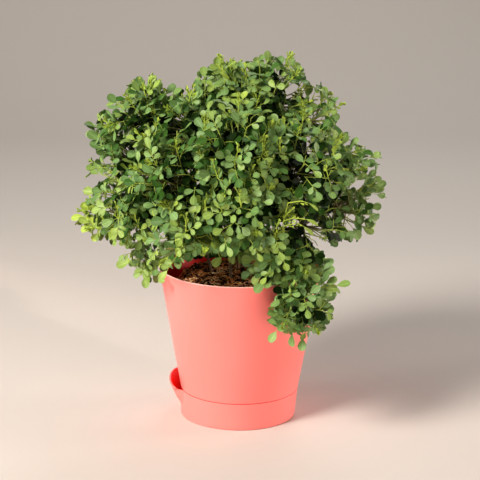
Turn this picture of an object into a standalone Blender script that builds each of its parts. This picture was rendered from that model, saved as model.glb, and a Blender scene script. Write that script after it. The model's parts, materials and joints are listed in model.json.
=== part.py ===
"""Potted orange jasmine: a dense young shrub in a round self-watering pot.

Metres, +Z up. The origin is the centre of the tray's underside, on the surface that the
pot stands on. The watering lip is on the left, towards -X, and the front is towards -Y.
"""

import math
import random

import bmesh
import bpy
from mathutils import Matrix, Vector, noise

MM = 0.001
GAP = 0.3 * MM  # between pieces that touch

# Pot and tray follow one straight cone, which the seam divides.
RIM_RADIUS = 75 * MM
RIM_HEIGHT = 142.3 * MM
SEAM_RADIUS = 54.8 * MM
SEAM_HEIGHT = 26.2 * MM
FOOT_RADIUS = 52.2 * MM
FOOT_ROUNDING = 1.4 * MM
WALL = 1.8 * MM
RIM_WALL = 2.4 * MM
RIM_BAND = 6 * MM
CONE_SLOPE = (RIM_RADIUS - SEAM_RADIUS) / (RIM_HEIGHT - SEAM_HEIGHT)

# Inside the tray: the pot's nested foot, its floor and its wick well.
NEST_DEPTH = 6 * MM
NEST_CLEARANCE = 0.5 * MM
POT_FLOOR = 1.8 * MM
WELL_RADIUS = 16 * MM
WELL_BOTTOM = 4.5 * MM
WELL_SLOTS = 3
WELL_SLOT_SIZE = (4 * MM, 6 * MM)
DRAIN_HOLES = 6
DRAIN_RADIUS = 2.5 * MM
DRAIN_CIRCLE = 36 * MM
TRAY_FLOOR = 2 * MM

# Watering lip: the tray's wall bulges out and rises over part of its circle.
LIP_AZIMUTH = math.radians(163.5)
LIP_HALF_ANGLE = math.radians(34)
LIP_REACH = 11.8 * MM
LIP_RISE = 8 * MM
LIP_RISE_START = 0.15
LIP_START_HEIGHT = 10 * MM
LIP_FULLNESS = 0.55
LIP_SQUARENESS = 4.5

# The tray's foot swells a little under the lip.
SWELL = 2.8 * MM
SWELL_AZIMUTH = math.radians(185)
SWELL_HALF_ANGLE = math.radians(75)

# Soil: a mound with a sunken margin along the pot's wall.
SOIL_TOP = 137 * MM
SOIL_SHOULDER_RADIUS = 52 * MM
SOIL_SHOULDER_HEIGHT = 133 * MM
SOIL_MARGIN_RADIUS = 60 * MM
SOIL_MARGIN_HEIGHT = 121 * MM
SOIL_LUMPS = 1.6 * MM

POT_STEPS = 36
TRAY_STEPS = 48
SOIL_STEPS = 24

# Pinnate leaf, flat size before it is arched.
LEAF_LENGTH = 37 * MM
LEAFLET_LENGTH = 12.5 * MM
LEAFLET_WIDTH = 7.2 * MM
LEAFLET_PAIRS = 2
RIB_WIDTH = 2.2 * MM
LEAF_THICKNESS = 0.8 * MM
LEAF_ARCH = 3.5 * MM
LEAF_ROOT_DEPTH = 6 * MM
LEAF_CLEARANCE = 1.0 * MM

# Woody stems: radius where they leave the soil, and at the tip in a spray.
STEM_RADIUS = 2.8 * MM
BRANCH_RADIUS = 1.5 * MM
STEM_BOTTOM = 95 * MM

CROWN_CENTRE = Vector((-8, 5, 213)) * MM

# Where each stem leaves the soil, and where it forks, in millimetres.
STEMS = {
    "left": {"foot": (-26, -6, 0), "fork": (-40, -8, 171)},
    "front": {"foot": (-8, -26, 0), "fork": (-12, -38, 175)},
    "front_right": {"foot": (20, -20, 0), "fork": (24, -34, 169)},
    "middle": {"foot": (-2, 0, 0), "fork": (-6, 2, 225)},
    "right": {"foot": (28, 6, 0), "fork": (42, 8, 179)},
    "back": {"foot": (2, 28, 0), "fork": (2, 42, 181)},
}

# Each leafy spray: the middle of its core, the core's radius, how many leaves stand out
# of it, and the stem that carries it. Sizes are in millimetres. A spray that hangs over
# the rim also has the points that its branch passes.
SPRAYS = {
    "left_top": {"at": (-88, 0, 286), "core": 14, "leaves": 5, "stem": "left"},
    "left_upper": {"at": (-113, 8, 249), "core": 14, "leaves": 4, "stem": "left"},
    "left_middle": {"at": (-100, -22, 211), "core": 17, "leaves": 4, "stem": "left"},
    "left_low": {"at": (-126, 6, 185), "core": 14, "leaves": 4, "stem": "left"},
    "left_hanging": {
        "at": (-90, -22, 153),
        "core": 11,
        "leaves": 4,
        "stem": "left",
        "via": [(-66, -16, 169)],
    },
    "top_left": {"at": (-46, -22, 275), "core": 22, "leaves": 4, "stem": "middle"},
    "top_middle": {"at": (-12, 4, 301), "core": 20, "leaves": 4, "stem": "middle"},
    "top_right": {"at": (32, 4, 303), "core": 19, "leaves": 5, "stem": "middle"},
    "shoulder": {"at": (68, 6, 279), "core": 14, "leaves": 4, "stem": "middle"},
    "right_upper": {"at": (94, 10, 241), "core": 16, "leaves": 4, "stem": "right"},
    "right_middle": {"at": (98, -10, 199), "core": 16, "leaves": 5, "stem": "right"},
    "front_left": {"at": (-58, -64, 239), "core": 22, "leaves": 5, "stem": "front"},
    "front_middle": {"at": (-2, -70, 263), "core": 22, "leaves": 5, "stem": "front"},
    "front_right": {"at": (50, -58, 251), "core": 22, "leaves": 5, "stem": "front_right"},
    "front_low_left": {"at": (-46, -70, 195), "core": 18, "leaves": 4, "stem": "front"},
    "front_low": {"at": (4, -82, 211), "core": 20, "leaves": 5, "stem": "front_right"},
    "front_low_right": {"at": (58, -62, 197), "core": 19, "leaves": 4, "stem": "front_right"},
    "rim_right": {"at": (42, -74, 165), "core": 11, "leaves": 3, "stem": "front_right"},
    "hanging_right": {
        "at": (52, -88, 125),
        "core": 14,
        "leaves": 5,
        "stem": "front_right",
        "via": [(50, -60, 163), (58, -78, 153)],
    },
    "back_top": {"at": (-8, 58, 279), "core": 23, "leaves": 4, "stem": "back"},
    "back_top_left": {"at": (-66, 42, 253), "core": 22, "leaves": 4, "stem": "back"},
    "back_top_right": {"at": (50, 56, 259), "core": 22, "leaves": 4, "stem": "back"},
    "back_left": {"at": (-76, 58, 199), "core": 22, "leaves": 5, "stem": "back"},
    "back_middle": {"at": (-18, 92, 225), "core": 23, "leaves": 5, "stem": "back"},
    "back_right": {"at": (42, 88, 205), "core": 22, "leaves": 4, "stem": "back"},
    "back_side": {"at": (90, 58, 209), "core": 18, "leaves": 4, "stem": "right"},
}

CORE_ROUGHNESS = 0.26
LEAF_LEAN = (32, 70)  # degrees from straight out of the core
LEAF_SPACINGS = (25 * MM, 20 * MM, 15 * MM)
LEAF_TRIES = 400
LEAF_DIRECTIONS = 60
OUTER_DIRECTIONS = 44  # those of them that look most out of the crown


def clear_scene():
    for obj in list(bpy.data.objects):
        bpy.data.objects.remove(obj)


def new_collection(name, hidden=False):
    collection = bpy.data.collections.new(name)
    collection.hide_render = hidden
    bpy.context.scene.collection.children.link(collection)
    return collection


def linear(channel):
    return channel / 12.92 if channel <= 0.04045 else ((channel + 0.055) / 1.055) ** 2.4


def material(name, colour, roughness):
    """A Principled material from an sRGB colour written as 0xRRGGBB."""
    made = bpy.data.materials.new(name)
    made.use_nodes = True
    shader = made.node_tree.nodes["Principled BSDF"]
    channels = [(colour >> shift & 255) / 255 for shift in (16, 8, 0)]
    shader.inputs["Base Color"].default_value = (*map(linear, channels), 1)
    shader.inputs["Roughness"].default_value = roughness
    shader.inputs["Metallic"].default_value = 0
    return made


def place(name, mesh, collection, finish=None):
    obj = bpy.data.objects.new(name, mesh)
    collection.objects.link(obj)
    if finish:
        mesh.materials.clear()
        mesh.materials.append(finish)
    return obj


def as_mesh(obj, name, collection, finish=None):
    """The evaluated shape of an object as a plain mesh object, which takes its place."""
    bpy.context.view_layer.update()
    graph = bpy.context.evaluated_depsgraph_get()
    mesh = bpy.data.meshes.new_from_object(obj.evaluated_get(graph))
    made = place(name, mesh, collection, finish)
    made.matrix_world = obj.matrix_world
    bpy.data.objects.remove(obj)
    return made


def turned(name, profile, steps, collection, finish):
    """A solid turned round Z from (radius, height) points, down the outer side."""
    mesh = bpy.data.meshes.new(name)
    points = [(radius, 0, height) for radius, height in profile]
    edges = [(i, i + 1) for i in range(len(points) - 1)]
    mesh.from_pydata(points, edges, [])
    obj = place(name, mesh, collection)
    screw = obj.modifiers.new("turn", "SCREW")
    screw.steps = screw.render_steps = steps
    screw.use_merge_vertices = True
    screw.merge_threshold = 0.00005
    return as_mesh(obj, name, collection, finish)


def boolean(obj, operation, cutters, solver="EXACT"):
    """Joins or cuts obj by a collection's objects, which are removed afterwards."""
    modifier = obj.modifiers.new(operation.lower(), "BOOLEAN")
    modifier.operation = operation
    modifier.operand_type = "COLLECTION"
    modifier.collection = cutters
    modifier.solver = solver
    made = as_mesh(obj, obj.name + "_cut", obj.users_collection[0])
    for cutter in list(cutters.objects):
        bpy.data.objects.remove(cutter)
    return made


def tube(name, points, radii, collection, sides):
    """A closed tube along the points, as a mesh with welded caps."""
    curve = bpy.data.curves.new(name, "CURVE")
    curve.dimensions = "3D"
    curve.bevel_depth = 1
    curve.bevel_resolution = sides // 2 - 2
    curve.use_fill_caps = True
    line = curve.splines.new("POLY")
    line.points.add(len(points) - 1)
    for slot, point, radius in zip(line.points, points, radii):
        slot.co = (*point, 1)
        slot.radius = radius
    obj = place(name, curve, collection)
    made = as_mesh(obj, name, collection)
    weld = bmesh.new()
    weld.from_mesh(made.data)
    bmesh.ops.remove_doubles(weld, verts=weld.verts, dist=0.00001)
    bmesh.ops.recalc_face_normals(weld, faces=weld.faces)
    weld.to_mesh(made.data)
    weld.free()
    return made


def cone_radius(height):
    return SEAM_RADIUS + (height - SEAM_HEIGHT) * CONE_SLOPE


def pot_profile():
    shoulder = SEAM_HEIGHT + GAP
    nest = SEAM_RADIUS - WALL - NEST_CLEARANCE
    foot = SEAM_HEIGHT - NEST_DEPTH
    floor_top = foot + POT_FLOOR
    well_inner = WELL_RADIUS - WALL
    return [
        (0, WELL_BOTTOM + POT_FLOOR),
        (well_inner, WELL_BOTTOM + POT_FLOOR),
        (well_inner, floor_top),
        (nest - WALL, floor_top),
        (cone_radius(shoulder) - WALL - NEST_CLEARANCE, shoulder + WALL),
        (cone_radius(RIM_HEIGHT - RIM_BAND) - WALL, RIM_HEIGHT - RIM_BAND),
        (RIM_RADIUS - RIM_WALL, RIM_HEIGHT - 0.4 * RIM_WALL),
        (RIM_RADIUS - 0.5 * RIM_WALL, RIM_HEIGHT),
        (RIM_RADIUS, RIM_HEIGHT - 0.4 * RIM_WALL),
        (cone_radius(shoulder), shoulder),
        (nest, shoulder),
        (nest - 0.8 * MM, foot),
        (WELL_RADIUS, foot),
        (WELL_RADIUS - 1 * MM, WELL_BOTTOM),
        (0, WELL_BOTTOM),
    ]


def drain_cutters(cutters):
    """Drain holes through the pot's floor, and slots through the wall of its wick well."""
    height = SEAM_HEIGHT - NEST_DEPTH + POT_FLOOR / 2
    for i in range(DRAIN_HOLES):
        angle = math.tau * (i + 0.5) / DRAIN_HOLES
        spot = (DRAIN_CIRCLE * math.cos(angle), DRAIN_CIRCLE * math.sin(angle), height)
        bpy.ops.mesh.primitive_cylinder_add(
            vertices=6, radius=DRAIN_RADIUS, depth=4 * POT_FLOOR, location=spot
        )
        move_to(bpy.context.object, cutters)
    for i in range(WELL_SLOTS):
        angle = math.tau * (i + 0.5) / WELL_SLOTS
        middle = Vector((math.cos(angle), math.sin(angle), 0)) * (WELL_RADIUS - WALL / 2)
        middle.z = WELL_BOTTOM + POT_FLOOR + WELL_SLOT_SIZE[1] / 2 + 1 * MM
        bpy.ops.mesh.primitive_cube_add(size=1, location=middle, rotation=(0, 0, angle))
        slot = bpy.context.object
        slot.scale = (6 * WALL, *WELL_SLOT_SIZE)
        move_to(slot, cutters)


def move_to(obj, collection):
    for old in list(obj.users_collection):
        old.objects.unlink(obj)
    collection.objects.link(obj)


def make_pot(parts, cutters, plastic):
    pot = turned("pot_turned", pot_profile(), POT_STEPS, parts, plastic)
    drain_cutters(cutters)
    pot = boolean(pot, "DIFFERENCE", cutters)
    pot.name = "pot"
    shade_round(pot)


def tray_profile():
    inner = SEAM_RADIUS - WALL
    slope = (SEAM_RADIUS - FOOT_RADIUS) / (SEAM_HEIGHT - FOOT_ROUNDING)
    middle = SEAM_HEIGHT / 2
    return [
        (0, TRAY_FLOOR),
        (FOOT_RADIUS - WALL - 1 * MM, TRAY_FLOOR),
        (FOOT_RADIUS - WALL, TRAY_FLOOR + 1 * MM),
        (FOOT_RADIUS - WALL + (LIP_START_HEIGHT - FOOT_ROUNDING) * slope, LIP_START_HEIGHT),
        (inner - middle * slope, middle),
        (inner, SEAM_HEIGHT),
        (SEAM_RADIUS, SEAM_HEIGHT),
        (SEAM_RADIUS - middle * slope, middle),
        (FOOT_RADIUS + (LIP_START_HEIGHT - FOOT_ROUNDING) * slope, LIP_START_HEIGHT),
        (FOOT_RADIUS, FOOT_ROUNDING),
        (FOOT_RADIUS - 0.3 * FOOT_ROUNDING, 0.3 * FOOT_ROUNDING),
        (FOOT_RADIUS - FOOT_ROUNDING, 0),
        (0, 0),
    ]


def turn_from(azimuth, middle):
    """The angle between two azimuths, 0 to pi."""
    return abs((azimuth - middle + math.pi) % math.tau - math.pi)


def lip_share(azimuth):
    """How much of the watering lip stands out at this azimuth: 1 in its middle, 0 outside."""
    return 1 - min(1, turn_from(azimuth, LIP_AZIMUTH) / LIP_HALF_ANGLE)


def swell_share(azimuth):
    turn = min(1, turn_from(azimuth, SWELL_AZIMUTH) / SWELL_HALF_ANGLE)
    return math.cos(turn * math.pi / 2) ** 2


def raise_lip(mesh):
    """Bulges the tray's wall outwards and lifts its edge, most at the lip's middle."""
    for vertex in mesh.vertices:
        radius = math.hypot(vertex.co.x, vertex.co.y)
        if radius < FOOT_RADIUS - 2 * WALL:
            continue
        azimuth = math.atan2(vertex.co.y, vertex.co.x)
        share = lip_share(azimuth)
        rise = max(0, (vertex.co.z - LIP_START_HEIGHT) / (SEAM_HEIGHT - LIP_START_HEIGHT))
        lip = LIP_REACH * (1 - (1 - share) ** LIP_SQUARENESS) * rise**LIP_FULLNESS
        swell = SWELL * swell_share(azimuth) * (1 - vertex.co.z / SEAM_HEIGHT)
        outwards = max(lip, swell)
        vertex.co.x *= 1 + outwards / radius
        vertex.co.y *= 1 + outwards / radius
        lift = max(0, share - LIP_RISE_START) / (1 - LIP_RISE_START)
        vertex.co.z += LIP_RISE * (1 - (1 - lift) ** 2) * rise


def make_tray(parts, plastic):
    tray = turned("tray_turned", tray_profile(), TRAY_STEPS, parts, plastic)
    tray.name = "watering_tray"
    raise_lip(tray.data)
    shade_round(tray)


def soil_profile():
    shoulder = SEAM_HEIGHT + WALL + 2 * GAP
    floor = SEAM_HEIGHT - NEST_DEPTH + POT_FLOOR + GAP
    wall = WALL + NEST_CLEARANCE + GAP
    well = WELL_RADIUS - WALL - GAP
    return [
        (0, SOIL_TOP),
        (0.35 * SOIL_SHOULDER_RADIUS, SOIL_TOP - 0.6 * MM),
        (0.7 * SOIL_SHOULDER_RADIUS, SOIL_TOP - 1.6 * MM),
        (SOIL_SHOULDER_RADIUS, SOIL_SHOULDER_HEIGHT),
        (SOIL_MARGIN_RADIUS, SOIL_MARGIN_HEIGHT),
        (cone_radius(SOIL_MARGIN_HEIGHT) - wall, SOIL_MARGIN_HEIGHT - 2 * MM),
        (cone_radius(shoulder) - wall - GAP, shoulder),
        (SEAM_RADIUS - 3 * WALL, floor),
        (well, floor),
        (well - 0.5 * MM, WELL_BOTTOM + POT_FLOOR + GAP),
        (0, WELL_BOTTOM + POT_FLOOR + GAP),
    ]


def make_soil(parts, cutters, peat):
    """A lumpy mound that fills the pot and its wick well, with a hole for each stem."""
    soil = turned("soil_turned", soil_profile(), SOIL_STEPS, parts, peat)
    for vertex in soil.data.vertices:
        radius = math.hypot(vertex.co.x, vertex.co.y)
        if vertex.co.z > SOIL_MARGIN_HEIGHT - 1 * MM and radius < SOIL_MARGIN_RADIUS + MM:
            vertex.co.z += SOIL_LUMPS * noise.noise(vertex.co * 60)
    for name in STEMS:
        trunk(name, cutters, GAP)
    soil = boolean(soil, "DIFFERENCE", cutters)
    soil.name = "potting_soil"
    shade_round(soil)


def bezier(p0, p1, p2, p3, share):
    rest = 1 - share
    return rest**3 * p0 + 3 * rest**2 * share * p1 + 3 * rest * share**2 * p2 + share**3 * p3


def trunk_points(name):
    """From the trunk's lower end in the soil, out of it, and up to its fork."""
    foot = Vector(STEMS[name]["foot"]) * MM
    fork = Vector(STEMS[name]["fork"]) * MM
    low = Vector((foot.x, foot.y, STEM_BOTTOM))
    bend = Vector((foot.x, foot.y, SOIL_TOP + 6 * MM))
    return [low, bend, bend.lerp(fork, 0.55) + Vector((0, 0, 3 * MM)), fork]


def trunk(name, collection, extra=0):
    points = trunk_points(name)
    points[0] = points[0] - Vector((0, 0, extra))
    radii = [STEM_RADIUS + extra, STEM_RADIUS + extra, 0.9 * STEM_RADIUS, 0.8 * STEM_RADIUS]
    return tube("trunk_" + name, points, radii, collection, sides=6)


def branch_points(spray, extra=0):
    """From just under the stem's fork to the inside of the spray's core."""
    fork = Vector(STEMS[spray["stem"]]["fork"]) * MM
    end = Vector(spray["at"]) * MM
    via = [Vector(point) * MM for point in spray.get("via", [])]
    start = fork - Vector((0, 0, 2 * MM))
    last = via[-1] if via else start
    inwards = (end - last).normalized() * (0.25 * spray["core"] * MM - extra)
    end = end - inwards
    if via:
        return [start, *via, end]
    reach = (end - start).length
    first = start + Vector((0, 0, 0.3 * reach))
    second = end - (end - start).normalized() * 0.3 * reach + Vector((0, 0, 0.05 * reach))
    return [bezier(start, first, second, end, share / 3) for share in range(4)]


def branch(name, collection, extra=0):
    points = branch_points(SPRAYS[name], extra)
    count = len(points) - 1
    radii = [BRANCH_RADIUS * (1.25 - 0.35 * i / count) + extra for i in range(count + 1)]
    return tube("branch_" + name, points, radii, collection, sides=4)


def make_stems(parts, helpers, bark):
    for name in STEMS:
        stem = trunk(name, parts)
        for spray in SPRAYS:
            if SPRAYS[spray]["stem"] == name:
                branch(spray, helpers)
        stem = boolean(stem, "UNION", helpers)
        stem.name = "woody_stem_" + name
        stem.data.materials.clear()
        stem.data.materials.append(bark)
        shade_round(stem)


def leaflet(base, direction, length, width):
    """The outer points of one obovate leaflet, widest towards its blunt tip."""
    along = Vector((math.cos(direction), math.sin(direction)))
    across = Vector((-along.y, along.x))
    shape = [(0.6, -0.5), (1.0, -0.05), (0.66, 0.5)]
    return [base + along * (u * length) + across * (v * width) for u, v in shape]


def leaf_outline():
    """One pinnate leaf, flat: leaflets cut to the rib down one side, then the other."""
    half = RIB_WIDTH / 2
    side = [Vector((half, 0))]
    last = LEAF_LENGTH - LEAFLET_LENGTH
    first = LEAF_ROOT_DEPTH + 0.5 * MM
    step = (last - first) / LEAFLET_PAIRS
    for pair in range(LEAFLET_PAIRS):
        height = first + pair * step
        size = 0.86 + 0.14 * pair
        angle = math.radians(28 + 7 * pair)
        base = Vector((half, height + 0.5 * step))
        side += leaflet(base, angle, size * LEAFLET_LENGTH, size * LEAFLET_WIDTH)
        side.append(Vector((half, height + 0.9 * step)))
    right = side + [Vector((0.52 * LEAFLET_WIDTH, last + 0.6 * LEAFLET_LENGTH))]
    left = [Vector((-point.x, point.y)) for point in reversed(right)]
    return [*right, Vector((0, LEAF_LENGTH)), *left]


def leaf_mesh():
    """The leaf as a thin arched blade, triangles alike on both faces, its root at the origin."""
    blade = bmesh.new()
    face = blade.faces.new([blade.verts.new((point.x, point.y, 0)) for point in leaf_outline()])
    bmesh.ops.triangulate(blade, faces=[face])
    for vertex in blade.verts:
        along = vertex.co.y / LEAF_LENGTH
        aside = vertex.co.x / LEAFLET_LENGTH
        vertex.co.z = LEAF_ARCH * (4 * along * (1 - along) - 0.8 * aside * aside)
    mesh = bpy.data.meshes.new("leaf")
    blade.to_mesh(mesh)
    blade.free()
    return mesh


def leaf_pattern(helpers):
    obj = place("leaf_pattern", leaf_mesh(), helpers)
    thick = obj.modifiers.new("thickness", "SOLIDIFY")
    thick.thickness = LEAF_THICKNESS
    thick.offset = 0
    made = as_mesh(obj, "leaf_pattern", helpers)
    mesh = made.data
    bpy.data.objects.remove(made)
    return mesh


def sphere_directions(count):
    """Directions spread evenly over a sphere."""
    golden = math.pi * (3 - math.sqrt(5))
    for i in range(count):
        height = 1 - 2 * (i + 0.5) / count
        ring = math.sqrt(1 - height * height)
        yield Vector((ring * math.cos(i * golden), ring * math.sin(i * golden), height))


def cell_planes(name):
    """Planes between this spray and the others, nearer to the smaller core."""
    centre, core = Vector(SPRAYS[name]["at"]) * MM, SPRAYS[name]["core"] * MM
    planes = []
    for other in SPRAYS:
        if other == name:
            continue
        far, far_core = Vector(SPRAYS[other]["at"]) * MM, SPRAYS[other]["core"] * MM
        apart = (far - centre).length
        normal = (far - centre) / apart
        distance = (apart * apart + core * core - far_core * far_core) / (2 * apart)
        planes.append((normal, normal.dot(centre) + distance))
    return planes


def inside_cell(point, planes, margin):
    return all(normal.dot(point) < limit - margin for normal, limit in planes)


def clear_of_pot(point, margin):
    """True outside the pot's cone, or above its rim, or above the soil inside it."""
    radius = math.hypot(point.x, point.y)
    if point.z > RIM_HEIGHT + 2 * margin:
        return True
    if radius > cone_radius(point.z) + 2 * margin:
        return True
    return False


def stem_segments():
    """Every straight stretch of stem and branch, as its two ends."""
    lines = [trunk_points(name) for name in STEMS]
    lines += [branch_points(spray) for spray in SPRAYS.values()]
    return [ends for line in lines for ends in zip(line, line[1:])]


def distance_to(point, start, end):
    along = end - start
    share = max(0, min(1, (point - start).dot(along) / along.length_squared))
    return (point - start - along * share).length


def clear_of_stems(point, segments, margin):
    keep = STEM_RADIUS + margin
    return all(distance_to(point, start, end) > keep for start, end in segments)


def core_mesh(name, rng, planes):
    """A small lumpy core, flattened where it meets its neighbours' cells."""
    bpy.ops.mesh.primitive_ico_sphere_add(subdivisions=2, radius=SPRAYS[name]["core"] * MM)
    core = bpy.context.object
    centre = Vector(SPRAYS[name]["at"]) * MM
    for vertex in core.data.vertices:
        offset = vertex.co * (1 + CORE_ROUGHNESS * (2 * rng.random() - 1))
        while not inside_cell(centre + offset, planes, LEAF_CLEARANCE):
            offset *= 0.95
        vertex.co = centre + offset
    return core


def leaf_frame(core, centre, outwards, rng):
    """The matrix of one leaf: its root sunk in the core, its blade laid back outwards."""
    surface = core.ray_cast(centre, outwards)[1]
    drift = Vector((rng.uniform(-1, 1), rng.uniform(-1, 1), rng.uniform(-0.6, 1)))
    aside = (drift - outwards * drift.dot(outwards)).normalized()
    lean = math.radians(rng.uniform(*LEAF_LEAN))
    along = outwards * math.cos(lean) + aside * math.sin(lean)
    facing = outwards * math.sin(lean) - aside * math.cos(lean)
    width = along.cross(facing)
    root = surface - along * (0.8 * LEAF_ROOT_DEPTH)
    size = rng.uniform(0.88, 1.12)
    turn = Matrix((width, along, facing)).transposed()
    return Matrix.Translation(root) @ (turn * size).to_4x4()


def probe_points(leaf):
    """Points all over the blade outside its root, to keep it clear of what is round it."""
    points = [vertex.co.copy() for vertex in leaf.vertices]
    points += [polygon.center.copy() for polygon in leaf.polygons]
    points += [Vector((0, LEAF_LENGTH * i / 9, 0)) for i in range(10)]
    return [point for point in points if point.y > LEAF_ROOT_DEPTH]


def leaf_fits(frame, probes, planes, segments):
    for point in probes:
        spot = frame @ point
        if not inside_cell(spot, planes, LEAF_CLEARANCE):
            return False
        if not clear_of_pot(spot, LEAF_CLEARANCE):
            return False
        if not clear_of_stems(spot, segments, LEAF_CLEARANCE):
            return False
    return True


def choose_leaves(name, core, rng, probes, planes, segments):
    """Leaf places spread over the side of the spray that faces out of the crown."""
    centre = Vector(SPRAYS[name]["at"]) * MM
    out = (centre - CROWN_CENTRE).normalized()
    wanted = SPRAYS[name]["leaves"]
    directions = sphere_directions(LEAF_DIRECTIONS)
    directions = sorted(directions, key=lambda d: -d.dot(out) - 0.3 * rng.random())
    chosen = []
    for spacing in LEAF_SPACINGS:
        for attempt in range(LEAF_TRIES):
            if len(chosen) == wanted:
                return [frame for frame, _ in chosen]
            frame = leaf_frame(core, centre, directions[attempt % OUTER_DIRECTIONS], rng)
            middle = frame @ Vector((0, 0.65 * LEAF_LENGTH, 0))
            if any((middle - other).length < spacing for _, other in chosen):
                continue
            if leaf_fits(frame, probes, planes, segments):
                chosen.append((frame, middle))
    return [frame for frame, _ in chosen]


def drop_scraps(mesh):
    """Keeps the largest connected body, without a leaf or chip that the branch's hole cuts free."""
    body = bmesh.new()
    body.from_mesh(mesh)
    left = set(body.verts)
    groups = []
    while left:
        group = [left.pop()]
        for vertex in group:
            near = {edge.other_vert(vertex) for edge in vertex.link_edges} & left
            left -= near
            group += near
        groups.append(group)
    groups.sort(key=len)
    for group in groups[:-1]:
        bmesh.ops.delete(body, geom=group, context="VERTS")
    body.to_mesh(mesh)
    body.free()
    return len(groups) - 1


def make_spray(name, index, leaf, parts, helpers, cutters, segments, green):
    """One spray: a core, the leaves that stand out of it, and a hole for its branch."""
    rng = random.Random(100 + index)
    planes = cell_planes(name)
    core = core_mesh(name, rng, planes)
    move_to(core, parts)
    core.name = "core_" + name
    bpy.context.view_layer.update()
    frames = choose_leaves(name, core, rng, probe_points(leaf), planes, segments)
    for frame in frames:
        copy = place("leaf", leaf, helpers)
        copy.matrix_world = frame
    spray = boolean(core, "UNION", helpers, "MANIFOLD")
    branch(name, cutters, GAP)
    spray = boolean(spray, "DIFFERENCE", cutters, "MANIFOLD")
    scraps = drop_scraps(spray.data)
    if scraps:
        print(name, "scraps dropped:", scraps)
    spray.name = "leafy_spray_" + name
    spray.data.materials.clear()
    spray.data.materials.append(green)
    spray.data.shade_flat()
    return len(frames)


def shade_round(obj):
    obj.data.shade_smooth()
    obj.data.set_sharp_from_angle(angle=math.radians(35))


def main():
    clear_scene()
    parts = new_collection("potted_orange_jasmine")
    cutters = new_collection("cutters", hidden=True)
    helpers = new_collection("helpers", hidden=True)
    plastic = material("coral plastic", 0xFF8F7E, 0.42)
    tray_plastic = material("coral tray plastic", 0xFF8F7E, 0.42)
    peat = material("peat", 0x4A2A17, 0.95)
    bark = material("young bark", 0x8A7A45, 0.8)
    green = material("leaf green", 0x4E8A4C, 0.5)
    make_pot(parts, cutters, plastic)
    make_tray(parts, tray_plastic)
    make_soil(parts, cutters, peat)
    make_stems(parts, helpers, bark)
    leaf = leaf_pattern(helpers)
    segments = stem_segments()
    total = 0
    for index, name in enumerate(SPRAYS):
        total += make_spray(name, index, leaf, parts, helpers, cutters, segments, green)
    print("leaves:", total)


main()
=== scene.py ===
import json
import math
import random

import bmesh
import bpy
from mathutils import Matrix, Vector, noise

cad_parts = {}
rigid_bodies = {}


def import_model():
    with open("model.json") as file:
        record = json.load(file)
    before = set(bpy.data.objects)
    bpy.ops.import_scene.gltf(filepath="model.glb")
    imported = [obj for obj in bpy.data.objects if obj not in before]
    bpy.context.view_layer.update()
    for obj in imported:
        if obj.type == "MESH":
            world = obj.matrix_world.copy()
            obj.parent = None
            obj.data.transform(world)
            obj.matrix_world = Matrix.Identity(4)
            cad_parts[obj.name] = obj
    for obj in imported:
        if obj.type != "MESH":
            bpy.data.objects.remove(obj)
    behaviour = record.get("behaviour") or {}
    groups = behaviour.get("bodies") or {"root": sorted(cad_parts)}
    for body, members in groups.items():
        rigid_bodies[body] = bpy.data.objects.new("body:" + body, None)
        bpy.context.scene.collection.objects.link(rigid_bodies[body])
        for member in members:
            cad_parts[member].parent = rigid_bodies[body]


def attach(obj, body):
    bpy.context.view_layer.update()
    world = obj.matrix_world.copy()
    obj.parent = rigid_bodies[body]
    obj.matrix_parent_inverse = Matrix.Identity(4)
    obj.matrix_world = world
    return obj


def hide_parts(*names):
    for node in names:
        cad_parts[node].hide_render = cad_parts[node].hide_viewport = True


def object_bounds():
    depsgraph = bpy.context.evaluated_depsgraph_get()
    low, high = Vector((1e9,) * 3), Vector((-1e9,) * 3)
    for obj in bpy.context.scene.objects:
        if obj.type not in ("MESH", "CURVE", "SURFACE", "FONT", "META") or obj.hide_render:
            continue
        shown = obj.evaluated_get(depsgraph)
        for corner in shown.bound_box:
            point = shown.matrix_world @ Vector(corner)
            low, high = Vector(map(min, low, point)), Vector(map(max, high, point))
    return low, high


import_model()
cadBox = [list(corner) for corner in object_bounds()]
mm = 0.001
scene = bpy.context.scene


def report(text):
    print("jasmine:", text)


# The camera comes first, because the outline of the crown is read through it.
camera = {
    "at": Vector((-0.0005, -1.4269, 0.5262)),
    "pitch": math.radians(14.15),
    "roll": math.radians(0.46),
    "lens": 120.1,
    "sensor": 36,
    "frame": 480,
}


def makeCamera():
    data = bpy.data.cameras.new("camera")
    data.lens = camera["lens"]
    data.sensor_width = camera["sensor"]
    eye = bpy.data.objects.new("camera", data)
    tilt = Matrix.Rotation(math.pi / 2 - camera["pitch"], 4, "X")
    roll = Matrix.Rotation(camera["roll"], 4, "Z")
    eye.matrix_world = Matrix.Translation(camera["at"]) @ tilt @ roll
    scene.collection.objects.link(eye)
    scene.camera = eye
    return eye.matrix_world.inverted()


intoCamera = makeCamera()


def seenAt(point):
    # pixel of the 480 x 480 frame that shows a point
    near = intoCamera @ point
    focal = camera["lens"] / camera["sensor"] * camera["frame"]
    half = camera["frame"] / 2
    return half - focal * near.x / near.z, half + focal * near.y / near.z


# Small tools for materials and node trees.
def hexColor(code):
    parts = [int(code[i:i + 2], 16) / 255 for i in (1, 3, 5)]
    return [c / 12.92 if c <= 0.04045 else ((c + 0.055) / 1.055) ** 2.4 for c in parts] + [1]


def addNode(tree, kind, settings={}, inputs={}):
    # settings are the node's own, inputs take a value or another node's socket
    node = tree.nodes.new(kind)
    for key, value in settings.items():
        setattr(node, key, value)
    for key, value in inputs.items():
        if isinstance(value, bpy.types.NodeSocket):
            tree.links.new(value, node.inputs[key])
        else:
            node.inputs[key].default_value = value
    return node


def newMaterial(name):
    made = bpy.data.materials.new(name)
    made.use_nodes = True
    return made, made.node_tree, made.node_tree.nodes["Principled BSDF"]


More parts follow.
